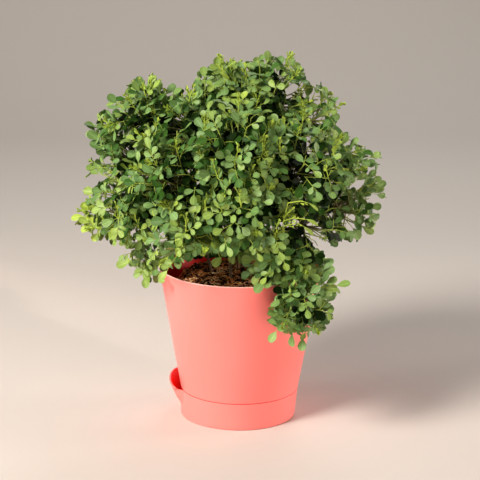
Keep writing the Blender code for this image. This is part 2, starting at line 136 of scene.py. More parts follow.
def ramp(tree, factor, stops):
    # stops are (place, hex colour)
    node = addNode(tree, "ShaderNodeValToRGB", {}, {"Fac": factor})
    line = node.color_ramp
    while len(line.elements) < len(stops):
        line.elements.new(0.5)
    for element, (place, code) in zip(line.elements, stops):
        element.position = place
        element.color = hexColor(code)
    return node.outputs["Color"]


def mixColors(tree, factor, first, second, how="MIX"):
    settings = {"data_type": "RGBA", "blend_type": how}
    return addNode(tree, "ShaderNodeMix", settings, {0: factor, 6: first, 7: second}).outputs[2]


def objectNoise(tree, size, detail=3):
    # noise whose blotches are about size metres across
    spot = addNode(tree, "ShaderNodeTexCoord").outputs["Object"]
    inputs = {"Vector": spot, "Scale": 0.5 / size, "Detail": detail}
    return addNode(tree, "ShaderNodeTexNoise", {}, inputs).outputs["Fac"]


def attribute(tree, name):
    return addNode(tree, "ShaderNodeAttribute", {"attribute_name": name}).outputs["Fac"]


def addBump(tree, shader, height, depth, strength=1):
    inputs = {"Height": height, "Distance": depth, "Strength": strength}
    bump = addNode(tree, "ShaderNodeBump", {}, inputs)
    tree.links.new(bump.outputs["Normal"], shader.inputs["Normal"])


def asPiece(name, mesh, replaced):
    obj = bpy.data.objects.new(name, mesh)
    scene.collection.objects.link(obj)
    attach(obj, "root")
    if replaced:
        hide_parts(*replaced)
    return obj


# Moulded polypropylene, satin from its mould: soft wide highlights and a little light
# that spreads under the skin. The inside and the seam's edges carry painted shade, a
# deep red for the shaded inside, and the rim's edge carries a painted highlight.
plastic = {
    "outside": [(0.3, "#FD7D76"), (0.7, "#FE837D")],
    # painted shade: deep red for the shaded inside and the seam's edges
    "inside": "#FA1B13",
    # painted highlight on the rim's top edge
    "rimHighlight": "#FFC2B6",
    "roughness": 0.36,
    "grain": 1.6 * mm,  # the real mould texture is finer than the render can show
    "grainDepth": 0.012 * mm,
}


def makePlastic(name):
    made, tree, shader = newMaterial(name)
    shade = objectNoise(tree, 40 * mm, 1)
    outside = ramp(tree, shade, plastic["outside"])
    # painted shade: the inside and the seam's edges in deep red
    color = mixColors(tree, attribute(tree, "inner"), outside, hexColor(plastic["inside"]))
    # painted highlight on the rim's top edge
    color = mixColors(tree, attribute(tree, "rimHighlight"), color, hexColor(plastic["rimHighlight"]))
    tree.links.new(color, shader.inputs["Base Color"])
    shader.inputs["Roughness"].default_value = plastic["roughness"]
    shader.inputs["Subsurface Weight"].default_value = 0.12
    shader.inputs["Subsurface Radius"].default_value = (1, 0.35, 0.25)
    shader.inputs["Subsurface Scale"].default_value = 3 * mm
    addBump(tree, shader, objectNoise(tree, plastic["grain"], 2), plastic["grainDepth"], 0.5)
    return made


# Pot and tray: the same turned shapes as the solids, with round edges and many steps.
potSize = {
    "rimRadius": 75 * mm,
    "rimHeight": 142.3 * mm,
    "seamRadius": 54.8 * mm,
    "seamHeight": 26.2 * mm,
    "wall": 1.8 * mm,
    "rimWall": 2.4 * mm,
    "rimBand": 6 * mm,
    "gap": 0.3 * mm,
    "nest": 6 * mm,
    "nestGap": 0.5 * mm,
    "floor": 1.8 * mm,
    "well": 16 * mm,
    "wellBottom": 4.5 * mm,
    "edge": 0.35 * mm,
    "shade": 0.25 * mm,
    "steps": 160,
}


def coneRadius(height):
    slope = (potSize["rimRadius"] - potSize["seamRadius"]) / (potSize["rimHeight"] - potSize["seamHeight"])
    return potSize["seamRadius"] + (height - potSize["seamHeight"]) * slope


def roundCorner(before, corner, after, radius, parts=4):
    # points of the arc that rounds a corner of a profile
    corner = Vector(corner)
    first = corner + (Vector(before) - corner).normalized() * radius
    last = corner + (Vector(after) - corner).normalized() * radius
    points = []
    for i in range(parts + 1):
        t = i / parts
        points.append(first * (1 - t) ** 2 + corner * 2 * t * (1 - t) + last * t * t)
    return [tuple(point) for point in points]


def roundedProfile(corners, radii):
    points = []
    for i, corner in enumerate(corners):
        radius = radii.get(i, 0)
        if radius:
            points += roundCorner(corners[i - 1], corner, corners[i + 1], radius)
        else:
            points.append(corner)
    return points


def turnProfile(points, steps):
    # a closed turned mesh from points that run down the outer side and end on the axis
    made = bmesh.new()
    rings = []
    for radius, height in points:
        if radius == 0:
            rings.append([made.verts.new((0, 0, height))])
            continue
        ring = []
        for i in range(steps):
            angle = math.tau * i / steps
            ring.append(made.verts.new((radius * math.cos(angle), radius * math.sin(angle), height)))
        rings.append(ring)
    for upper, lower in zip(rings, rings[1:]):
        for i in range(steps):
            j = (i + 1) % steps
            if len(upper) == 1:
                made.faces.new((upper[0], lower[j], lower[i]))
            elif len(lower) == 1:
                made.faces.new((upper[i], upper[j], lower[0]))
            else:
                made.faces.new((upper[i], upper[j], lower[j], lower[i]))
    bmesh.ops.recalc_face_normals(made, faces=made.faces)
    return made


def paint(mesh, name, share):
    # share gives each point's value from 0 to 1
    layer = mesh.attributes.new(name, "FLOAT", "POINT")
    for vertex in mesh.vertices:
        layer.data[vertex.index].value = share(vertex)


def finishRound(mesh, materials, angle=40):
    for made in materials:
        mesh.materials.append(made)
    mesh.shade_smooth()
    mesh.set_sharp_from_angle(angle=math.radians(angle))


def potPoints():
    s = potSize
    shoulder = s["seamHeight"] + s["gap"]
    nest = s["seamRadius"] - s["wall"] - s["nestGap"]
    foot = s["seamHeight"] - s["nest"]
    top = foot + s["floor"]
    band = s["rimHeight"] - s["rimBand"]
    wellInner = s["well"] - s["wall"]
    corners = [
        (0, s["wellBottom"] + s["floor"]),
        (wellInner, s["wellBottom"] + s["floor"]),
        (wellInner, top),
        (nest - s["wall"], top),
        (coneRadius(shoulder) - s["wall"] - s["nestGap"], shoulder + s["wall"]),
        (coneRadius(band) - s["wall"], band),
        (s["rimRadius"] - s["rimWall"], s["rimHeight"]),
        (s["rimRadius"], s["rimHeight"]),
        (coneRadius(shoulder), shoulder),
        (nest, shoulder),
        (nest - 0.8 * mm, foot),
        (s["well"], foot),
        (s["well"] - 1 * mm, s["wellBottom"]),
        (0, s["wellBottom"]),
    ]
    edge = s["edge"]
    return roundedProfile(corners, {1: edge, 3: edge, 6: 1.1 * mm, 7: 1.1 * mm, 8: edge, 10: edge, 12: edge})


def cutDrains(mesh):
    # six drain holes through the pot's floor, and three slots in the wick well
    s = potSize
    cutter = bmesh.new()
    height = s["seamHeight"] - s["nest"] + s["floor"] / 2
    for i in range(6):
        angle = math.tau * (i + 0.5) / 6
        spot = Matrix.Translation((36 * mm * math.cos(angle), 36 * mm * math.sin(angle), height))
        bmesh.ops.create_cone(
            cutter, cap_ends=True, segments=20, radius1=2.5 * mm, radius2=2.5 * mm, depth=8 * mm, matrix=spot
        )
    for i in range(3):
        angle = math.tau * (i + 0.5) / 3
        out = s["well"] - s["wall"] / 2
        low = s["wellBottom"] + s["floor"] + 4 * mm
        spot = Matrix.Translation((out * math.cos(angle), out * math.sin(angle), low))
        size = Matrix.Diagonal((10.8 * mm, 4 * mm, 6 * mm, 1))
        bmesh.ops.create_cube(cutter, size=1, matrix=spot @ Matrix.Rotation(angle, 4, "Z") @ size)
    tool = bpy.data.objects.new("drains", bpy.data.meshes.new("drains"))
    cutter.to_mesh(tool.data)
    cutter.free()
    body = bpy.data.objects.new("potBody", mesh)
    for obj in (tool, body):
        scene.collection.objects.link(obj)
    modifier = body.modifiers.new("drains", "BOOLEAN")
    modifier.object = tool
    bpy.context.view_layer.update()
    graph = bpy.context.evaluated_depsgraph_get()
    made = bpy.data.meshes.new_from_object(body.evaluated_get(graph))
    for obj in (tool, body):
        bpy.data.objects.remove(obj)
    return made


def makePot(material):
    body = turnProfile(potPoints(), potSize["steps"])
    mesh = bpy.data.meshes.new("pot")
    body.to_mesh(mesh)
    body.free()
    mesh = cutDrains(mesh)
    low = potSize["rimHeight"] - 3 * mm
    shoulder = potSize["seamHeight"] + potSize["gap"]

    def paintedShadeShare(vertex):
        # painted shade: the inside in deep red, and the lower edge that lies in shade at the seam
        radius = math.hypot(vertex.co.x, vertex.co.y)
        atSeam = abs(vertex.co.z - shoulder) < potSize["shade"]
        return float(atSeam or (radius < coneRadius(vertex.co.z) - 1 * mm and vertex.co.z < low))

    # painted highlight: the rim's top, where light catches it
    def rimHighlightShare(vertex):
        return float(vertex.co.z > potSize["rimHeight"] - 0.6 * mm)

    paint(mesh, "inner", paintedShadeShare)
    paint(mesh, "rimHighlight", rimHighlightShare)
    finishRound(mesh, [material])
    return asPiece("pot_body", mesh, ["pot"])


lip = {
    "azimuth": math.radians(163.5),
    "halfAngle": math.radians(34),
    "reach": 11.8 * mm,
    "rise": 8 * mm,
    "riseStart": 0.15,
    "low": 10 * mm,
    "fullness": 0.55,
    "squareness": 4.5,
}
traySize = {"foot": 52.2 * mm, "rounding": 1.4 * mm, "floor": 2 * mm, "rows": 9}
swell = {"azimuth": math.radians(185), "halfAngle": math.radians(75), "reach": 2.8 * mm}


def trayPoints():
    s = potSize
    foot, rounding = traySize["foot"], traySize["rounding"]
    slope = (s["seamRadius"] - foot) / (s["seamHeight"] - rounding)
    outer = []
    rows = traySize["rows"]
    for i in range(rows + 1):
        height = s["seamHeight"] - (s["seamHeight"] - rounding) * i / rows
        outer.append((s["seamRadius"] - (s["seamHeight"] - height) * slope, height))
    inner = [(radius - s["wall"], height) for radius, height in reversed(outer[:-1])]
    edge = 0.45 * mm
    top = roundCorner(inner[-2], inner[-1], outer[0], edge) + roundCorner(inner[-1], outer[0], outer[1], edge)
    base = roundCorner(outer[-2], (foot, 0), (0, 0), rounding)
    floor = [(0, traySize["floor"]), (foot - s["wall"] - 1.2 * mm, traySize["floor"])]
    return floor + inner[:-1] + top + outer[1:-1] + base + [(0, 0)]


def turnShare(azimuth, form):
    # 1 in the middle of the lip or the swell, 0 past its half angle
    turn = (azimuth - form["azimuth"] + math.pi) % math.tau - math.pi
    return 1 - min(1, abs(turn) / form["halfAngle"])


def makeTray(material):
    # the wall bulges and rises into the lip, and the foot under it swells a little
    body = turnProfile(trayPoints(), potSize["steps"])
    wallTop = potSize["seamHeight"]
    for vertex in body.verts:
        radius = math.hypot(vertex.co.x, vertex.co.y)
        if radius < traySize["foot"] - 2 * potSize["wall"]:
            continue
        azimuth = math.atan2(vertex.co.y, vertex.co.x)
        share = turnShare(azimuth, lip)
        rise = max(0, (vertex.co.z - lip["low"]) / (wallTop - lip["low"]))
        bulge = lip["reach"] * (1 - (1 - share) ** lip["squareness"]) * rise ** lip["fullness"]
        foot = swell["reach"] * math.sin(math.pi / 2 * turnShare(azimuth, swell)) ** 2
        outwards = max(bulge, foot * (1 - vertex.co.z / wallTop))
        vertex.co.x *= 1 + outwards / radius
        vertex.co.y *= 1 + outwards / radius
        lift = max(0, share - lip["riseStart"]) / (1 - lip["riseStart"])
        vertex.co.z += lip["rise"] * (1 - (1 - lift) ** 2) * rise
    body.normal_update()
    mesh = bpy.data.meshes.new("tray")
    body.to_mesh(mesh)
    body.free()

    def paintedShadeShare(vertex):
        # painted shade: the inward faces, the tray's floor and the top edge at the seam in deep red
        inwards = -(vertex.co.x * vertex.normal.x + vertex.co.y * vertex.normal.y)
        faces = inwards / max(1e-6, math.hypot(vertex.co.x, vertex.co.y))
        atSeam = abs(vertex.co.z - wallTop) < potSize["shade"]
        return float(atSeam or faces > 0.3 or (vertex.normal.z > 0.8 and vertex.co.z < 4 * mm))

    paint(mesh, "inner", paintedShadeShare)
    finishRound(mesh, [material])
    return asPiece("tray_body", mesh, ["watering_tray"])


makePot(makePlastic("moulded polypropylene, pot"))
makeTray(makePlastic("moulded polypropylene, tray"))
report("pot and tray")

# Moist coco peat: near-black pith with dry orange-brown crumbs and fibres on it, so the
# eye reads coarse dark crumbs with bright threads.
soil = {
    "top": 137 * mm,
    "shoulderRadius": 52 * mm,
    "shoulder": 133 * mm,
    "marginRadius": 60 * mm,
    "margin": 121 * mm,
    "lumps": 2.2 * mm,
    "crumbs": 2600,
    "crumbSize": (1.0 * mm, 4.6 * mm),
    "fibres": 420,
    "fibreLength": (8 * mm, 20 * mm),
    "fibreThick": 0.42 * mm,
}


def soilHeight(radius):
    if radius < soil["shoulderRadius"]:
        share = radius / soil["shoulderRadius"]
        return soil["top"] - (soil["top"] - soil["shoulder"]) * share**2
    if radius < soil["marginRadius"]:
        share = (radius - soil["shoulderRadius"]) / (soil["marginRadius"] - soil["shoulderRadius"])
        return soil["shoulder"] + (soil["margin"] - soil["shoulder"]) * share**1.4
    return soil["margin"]


def soilSurface(x, y):
    spot = Vector((x, y, 0))
    lumps = noise.noise(spot * 90) + 0.5 * noise.noise(spot * 260)
    return soilHeight(math.hypot(x, y)) + soil["lumps"] * lumps


def peatMaterial(name, stops, size):
    made, tree, shader = newMaterial(name)
    blotches = objectNoise(tree, size, 5)
    tree.links.new(ramp(tree, blotches, stops), shader.inputs["Base Color"])
    shader.inputs["Roughness"].default_value = 0.95
    shader.inputs["Specular IOR Level"].default_value = 0.2
    addBump(tree, shader, objectNoise(tree, 0.5 * size, 4), 0.5 * mm)
    return made


def makeSoilBody(material):
    s = potSize
    wall = s["wall"] + s["nestGap"] + s["gap"]
    shoulder = s["seamHeight"] + s["wall"] + 2 * s["gap"]
    floor = s["seamHeight"] - s["nest"] + s["floor"] + s["gap"]
    well = s["well"] - s["wall"] - s["gap"]
    wellFloor = s["wellBottom"] + s["floor"] + s["gap"]
    edge = coneRadius(soil["margin"]) - wall
    points = [(0, soil["top"])]
    rows = 40
    points += [(edge * (i + 1) / rows, soil["margin"]) for i in range(rows)]
    top = len(points)
    points += [(coneRadius(shoulder) - wall - s["gap"], shoulder), (s["seamRadius"] - 3 * s["wall"], floor)]
    points += [(well, floor), (well - 0.5 * mm, wellFloor), (0, wellFloor)]
    steps = 96
    body = turnProfile(points, steps)
    body.verts.ensure_lookup_table()
    for vertex in body.verts[: 1 + (top - 1) * steps]:
        vertex.co.z = soilSurface(vertex.co.x, vertex.co.y)
    mesh = bpy.data.meshes.new("soil")
    body.to_mesh(mesh)
    body.free()
    finishRound(mesh, [material], 60)
    return asPiece("soil_body", mesh, ["potting_soil"])


def plainMesh(obj):
    # the evaluated shape of an object as a mesh, without the object
    bpy.context.view_layer.update()
    graph = bpy.context.evaluated_depsgraph_get()
    mesh = bpy.data.meshes.new_from_object(obj.evaluated_get(graph))
    bpy.data.objects.remove(obj)
    return mesh


def newTree(name, sockets):
    # a Geometry Nodes tree with named inputs, and its two end nodes
    tree = bpy.data.node_groups.new(name, "GeometryNodeTree")
    tree.interface.new_socket("Geometry", in_out="INPUT", socket_type="NodeSocketGeometry")
    tree.interface.new_socket("Geometry", in_out="OUTPUT", socket_type="NodeSocketGeometry")
    for label, kind in sockets:
        tree.interface.new_socket(label, in_out="INPUT", socket_type="NodeSocket" + kind)
    return tree, addNode(tree, "NodeGroupInput"), addNode(tree, "NodeGroupOutput")


def runTree(obj, tree, values):
    # sets a modifier's inputs by the sockets' identifiers
    modifier = obj.modifiers.new(tree.name, "NODES")
    modifier.node_group = tree
    for item in tree.interface.items_tree:
        if item.in_out == "INPUT" and item.name in values:
            modifier[item.identifier] = values[item.name]
    return plainMesh(obj)


def named(tree, name, kind="FLOAT"):
    node = addNode(tree, "GeometryNodeInputNamedAttribute", {"data_type": kind}, {"Name": name})
    return node.outputs["Attribute"]


def scatterTree():
    # shapes of a collection set on points, each with its own turn, size and pick
    sockets = [("Shapes", "Collection"), ("Finish", "Material")]
    tree, start, end = newTree("scatterShapes", sockets)
    children = {"Separate Children": True, "Reset Children": True}
    shapes = addNode(tree, "GeometryNodeCollectionInfo", {}, {"Collection": start.outputs["Shapes"], **children})
    turn = addNode(tree, "FunctionNodeEulerToRotation", {}, {"Euler": named(tree, "turn", "FLOAT_VECTOR")})
    inputs = {
        "Points": start.outputs["Geometry"],
        "Instance": shapes.outputs["Instances"],
        "Pick Instance": True,
        "Instance Index": named(tree, "kind", "INT"),
        "Rotation": turn.outputs["Rotation"],
        "Scale": named(tree, "size"),
    }
    placed = addNode(tree, "GeometryNodeInstanceOnPoints", {}, inputs)
    real = addNode(tree, "GeometryNodeRealizeInstances", {}, {"Geometry": placed.outputs["Instances"]})
    inputs = {"Geometry": real.outputs["Geometry"], "Material": start.outputs["Finish"]}
    finish = addNode(tree, "GeometryNodeSetMaterial", {}, inputs)
    tree.links.new(finish.outputs["Geometry"], end.inputs["Geometry"])
    return tree


def tubeTree():
    # a round closed tube along each chain of edges, as thick as its points say
    sockets = [("Sides", "Int"), ("Finish", "Material")]
    tree, start, end = newTree("tubesOnPaths", sockets)
    lines = addNode(tree, "GeometryNodeMeshToCurve", {}, {"Mesh": start.outputs["Geometry"]})
    ring = addNode(tree, "GeometryNodeCurvePrimitiveCircle", {}, {"Resolution": start.outputs["Sides"], "Radius": 1})
    inputs = {
        "Curve": lines.outputs["Curve"],
        "Profile Curve": ring.outputs["Curve"],
        "Scale": named(tree, "thick"),
        "Fill Caps": True,
    }
    tubes = addNode(tree, "GeometryNodeCurveToMesh", {}, inputs)
    smooth = addNode(tree, "GeometryNodeSetShadeSmooth", {}, {"Geometry": tubes.outputs["Mesh"]})
    inputs = {"Geometry": smooth.outputs["Geometry"], "Material": start.outputs["Finish"]}
    finish = addNode(tree, "GeometryNodeSetMaterial", {}, inputs)
    tree.links.new(finish.outputs["Geometry"], end.inputs["Geometry"])
    return tree


scatterShapes = scatterTree()
tubesOnPaths = tubeTree()


def fillAttribute(mesh, name, kind, values):
    layer = mesh.attributes.new(name, kind, "POINT")
    key = "vector" if kind == "FLOAT_VECTOR" else "value"
    for item, value in zip(layer.data, values):
        setattr(item, key, value)


def scatter(name, shapes, points, material):
    # points holds lists named at, turn, size, kind and tone
    mesh = bpy.data.meshes.new(name)
    mesh.from_pydata(points["at"], [], [])
    fillAttribute(mesh, "turn", "FLOAT_VECTOR", points["turn"])
    fillAttribute(mesh, "size", "FLOAT", points["size"])
    fillAttribute(mesh, "kind", "INT", points["kind"])
    fillAttribute(mesh, "tone", "FLOAT", points["tone"])
    obj = bpy.data.objects.new(name, mesh)
    scene.collection.objects.link(obj)
    return runTree(obj, scatterShapes, {"Shapes": shapes, "Finish": material})


def tubes(name, paths, sides, material):
    # paths are (points, radii, tones)
    places, edges, thick, tone = [], [], [], []
    for points, radii, tones in paths:
        first = len(places)
        edges += [(first + i, first + i + 1) for i in range(len(points) - 1)]
        places += points
        thick += radii
        tone += tones
    mesh = bpy.data.meshes.new(name)
    mesh.from_pydata(places, edges, [])
    fillAttribute(mesh, "thick", "FLOAT", thick)
    fillAttribute(mesh, "tone", "FLOAT", tone)
    obj = bpy.data.objects.new(name, mesh)
    scene.collection.objects.link(obj)
    return runTree(obj, tubesOnPaths, {"Sides": sides, "Finish": material})


def joinMeshes(name, meshes):
    made = bmesh.new()
    slots = []
    for mesh in meshes:
        start = len(slots)
        slots += list(mesh.materials)
        before = len(made.faces)
        made.from_mesh(mesh)
        made.faces.ensure_lookup_table()
        for face in made.faces[before:]:
            face.material_index += start
    joined = bpy.data.meshes.new(name)
    made.to_mesh(joined)
    made.free()
    for slot in slots:
        joined.materials.append(slot)
    return joined


def emptyPoints():
    return {"at": [], "turn": [], "size": [], "kind": [], "tone": []}


def addPoint(points, at, turn, size, kind, tone):
    points["at"].append(at)
    points["turn"].append(turn)
    points["size"].append(size)
    points["kind"].append(kind)
    points["tone"].append(tone)


def hiddenCollection(name, meshes):
    # helper shapes, sorted by name, which leave with dropCollection
    made = bpy.data.collections.new(name)
    for i, mesh in enumerate(meshes):
        made.objects.link(bpy.data.objects.new(f"{name}{i:02d}", mesh))
    return made


def dropCollection(made):
    for obj in list(made.objects):
        bpy.data.objects.remove(obj)
    bpy.data.collections.remove(made)


def crumbShape(rng):
    made = bmesh.new()
    bmesh.ops.create_icosphere(made, subdivisions=1, radius=0.5)
    for vertex in made.verts:
        vertex.co *= rng.uniform(0.6, 1.25)
        vertex.co.z *= 0.75
    mesh = bpy.data.meshes.new("crumb")
    made.to_mesh(mesh)
    made.free()
    return mesh


def makeSoilCrumbs():
    rng = random.Random(7)
    stops = [(0.41, "#1C0E06"), (0.48, "#542B10"), (0.54, "#BC743A"), (0.6, "#FFDCA6")]
    crumbPeat = peatMaterial("moist coco pith crumbs", stops, 3 * mm)
    shapes = hiddenCollection("crumbShape", [crumbShape(rng) for _ in range(5)])
    points = emptyPoints()
    for _ in range(soil["crumbs"]):
        radius = 67 * mm * math.sqrt(rng.random())
        angle = rng.uniform(0, math.tau)
        x, y = radius * math.cos(angle), radius * math.sin(angle)
        low, high = soil["crumbSize"]
        size = low + (high - low) * rng.random() ** 2.2
        turn = [rng.uniform(0, math.tau) for _ in range(3)]
        at = (x, y, soilSurface(x, y) + 0.2 * size)
        addPoint(points, at, turn, size, rng.randrange(5), rng.random())
    mesh = scatter("soil_crumbs", shapes, points, crumbPeat)
    dropCollection(shapes)
    mesh.shade_smooth()
    return mesh


def makeSoilFibres():
    # dry fibres lie over the crumbs, arched and crossing
    rng = random.Random(8)
    stops = [(0.38, "#8A4E22"), (0.5, "#D08A48"), (0.62, "#F2C48C")]
    straw = peatMaterial("dry coco fibre", stops, 9 * mm)
    paths = []
    for _ in range(soil["fibres"]):
        radius = 64 * mm * math.sqrt(rng.random())
        angle = rng.uniform(0, math.tau)
        x, y = radius * math.cos(angle), radius * math.sin(angle)
        heading = rng.uniform(0, math.tau)
        low, high = soil["fibreLength"]
        length = rng.uniform(low, high)
        bend = rng.uniform(-1.4, 1.4)
        arch = rng.uniform(0.2, 2.2) * mm
        line = []
        for i in range(6):
            share = i / 5
            line.append((x, y, share))
            x += length / 5 * math.cos(heading + bend * share)
            y += length / 5 * math.sin(heading + bend * share)
        if max(math.hypot(px, py) for px, py, _ in line) > 66 * mm:
            continue
        points = [
            (px, py, soilSurface(px, py) + 0.5 * mm + arch * math.sin(math.pi * share))
            for px, py, share in line
        ]
        thick = soil["fibreThick"] * rng.uniform(0.6, 1.5)
        radii = [thick * (1 - 0.6 * abs(share - 0.5)) for _, _, share in line]
        paths.append((points, radii, [rng.random()] * 6))
    return tubes("soil_fibres", paths, 4, straw)


peatStops = [(0.4, "#0E0704"), (0.58, "#2A170B"), (0.72, "#6A3C1A")]
makeSoilBody(peatMaterial("moist coco peat", peatStops, 4 * mm))
loose = joinMeshes("soil_loose", [makeSoilCrumbs(), makeSoilFibres()])
asPiece("soil_crumbs_and_fibres", loose, [])
report("soil")

# Where each stem leaves the soil and forks, in millimetres, as in the solids.
stems = {
    "left": {"foot": (-26, -6, 0), "fork": (-40, -8, 171)},
    "front": {"foot": (-8, -26, 0), "fork": (-12, -38, 175)},
    "front_right": {"foot": (20, -20, 0), "fork": (24, -34, 169)},
    "middle": {"foot": (-2, 0, 0), "fork": (-6, 2, 225)},
    "right": {"foot": (28, 6, 0), "fork": (42, 8, 179)},
    "back": {"foot": (2, 28, 0), "fork": (2, 42, 181)},
}

# Each spray in millimetres: its middle and how far its leaves reach, then how yellow and
# how light its leaves are, partly painted light and shade for how lit the spray stands, how
# many of its twigs end in a bright young shoot (both 0 to 1), its stem, and how closely its
# twigs stand where that isn't 1.
sprays = {
    "left_top": {"at": (-88, 0, 286), "reach": 42, "dense": 0.85, "tone": 0.42, "young": 0.5, "stem": "left"},
    "left_upper": {"at": (-113, 8, 249), "reach": 42, "dense": 0.75, "tone": 0.44, "young": 0.4, "stem": "left"},
    "left_middle": {"at": (-100, -22, 211), "reach": 45, "dense": 0.9, "tone": 0.52, "young": 0.3, "stem": "left"},
    "left_low": {"at": (-126, 6, 185), "reach": 36, "dense": 0.75, "tone": 0.72, "young": 0.4, "stem": "left"},
    "left_hanging": {
        "at": (-90, -22, 153),
        "reach": 34, "dense": 0.6,
        "tone": 0.5,
        "young": 0.1,
        "stem": "left",
        "via": [(-66, -16, 169)],
    },
    "top_left": {"at": (-46, -22, 275), "reach": 48, "tone": 0.48, "young": 0.4, "stem": "middle"},
    "top_middle": {"at": (-12, 4, 301), "reach": 46, "tone": 0.5, "young": 0.5, "stem": "middle"},
    "top_right": {"at": (32, 4, 303), "reach": 44, "tone": 0.43, "young": 0.6, "stem": "middle"},
    "shoulder": {"at": (68, 6, 279), "reach": 38, "dense": 0.6, "tone": 0.38, "young": 0.5, "stem": "middle"},
    "right_upper": {"at": (94, 10, 241), "reach": 42, "dense": 0.42, "tone": 0.4, "young": 0.4, "stem": "right"},
    "right_middle": {"at": (98, -10, 199), "reach": 44, "dense": 0.5, "tone": 0.36, "young": 0.3, "stem": "right"},
    "front_left": {"at": (-58, -64, 239), "reach": 50, "tone": 0.4, "young": 0.45, "stem": "front"},
    "front_middle": {"at": (-2, -70, 263), "reach": 50, "tone": 0.4, "young": 0.6, "stem": "front"},
    "front_right": {"at": (50, -58, 251), "reach": 48, "tone": 0.34, "young": 0.6, "stem": "front_right"},
    "front_low_left": {"at": (-46, -70, 195), "reach": 44, "tone": 0.56, "young": 0.5, "stem": "front"},
    "front_low": {"at": (4, -82, 211), "reach": 46, "tone": 0.54, "young": 0.7, "stem": "front_right"},
    "front_low_right": {"at": (58, -62, 197), "reach": 44, "dense": 0.9, "tone": 0.2, "young": 0.3, "stem": "front_right"},
    "rim_right": {"at": (42, -74, 165), "reach": 34, "dense": 1.3, "tone": 0.44, "young": 0.3, "stem": "front_right"},
    "hanging_right": {
        "at": (52, -88, 125),
        "reach": 38, "dense": 1.25,
        "tone": 0.43,
        "young": 0.25,
        "stem": "front_right",
        "via": [(50, -60, 163), (58, -78, 153)],
    },
    "back_top": {"at": (-8, 58, 279), "reach": 50, "tone": 0.4, "young": 0.4, "stem": "back"},
    "back_top_left": {"at": (-66, 42, 253), "reach": 48, "tone": 0.4, "young": 0.4, "stem": "back"},
    "back_top_right": {"at": (50, 56, 259), "reach": 50, "dense": 0.7, "tone": 0.38, "young": 0.4, "stem": "back"},
    "back_left": {"at": (-76, 58, 199), "reach": 48, "dense": 0.6, "tone": 0.42, "young": 0.35, "stem": "back"},
    "back_middle": {"at": (-18, 92, 225), "reach": 50, "dense": 0.7, "tone": 0.4, "young": 0.4, "stem": "back"},
    "back_right": {"at": (42, 88, 205), "reach": 48, "dense": 0.8, "tone": 0.36, "young": 0.35, "stem": "back"},
    "back_side": {"at": (90, 58, 209), "reach": 44, "dense": 0.35, "tone": 0.34, "young": 0.35, "stem": "right"},
}

# The crown's edge in the photograph, read off in pixels of its 480 x 480 frame.
crownEdge = [
    (106, 94), (120, 98), (128, 83), (138, 75), (158, 74), (163, 80), (174, 83), (182, 90), (196, 89),
    (194, 78), (206, 64), (216, 56), (232, 60), (246, 62), (256, 57), (265, 50), (276, 54), (292, 55),
    (302, 66), (304, 76), (310, 83), (328, 82), (332, 95), (342, 98), (343, 117), (330, 129), (322, 133),
    (338, 127), (346, 132), (360, 139), (367, 149), (382, 152), (381, 164), (391, 182), (390, 194),
    (382, 216), (375, 234), (362, 240), (348, 243), (322, 248), (316, 252), (332, 255), (338, 272),
    (352, 282), (348, 292), (336, 296), (334, 318), (327, 329), (318, 336), (307, 340), (296, 339),
    (284, 337), (277, 331), (268, 322), (267, 308), (272, 294), (262, 288), (248, 290), (242, 280), (239, 264),
    (232, 257), (214, 253), (204, 254), (196, 257), (184, 262), (166, 272), (160, 290), (146, 293), (141, 280), (128, 272), (113, 270),
    (118, 260), (128, 252), (122, 246), (98, 242), (92, 244), (84, 232), (68, 222), (68, 214), (84, 204),
    (80, 188), (82, 166), (92, 160), (104, 156), (92, 148), (82, 132), (84, 120), (102, 110),
]

# Bright shoots that show in the photograph, in the same pixels.
shootsSeen = [
    (150, 88), (144, 90), (155, 130), (108, 127), (190, 97), (205, 126), (216, 172), (212, 190),
    (262, 172), (255, 192), (268, 160), (285, 128), (303, 107), (335, 160), (290, 66), (246, 76),
    (222, 66), (200, 152), (236, 158), (258, 100), (327, 172), (250, 176), (205, 205), (186, 225),
    (222, 205), (137, 222), (118, 215), (240, 200), (263, 150), (280, 146), (276, 232), (178, 250),
]
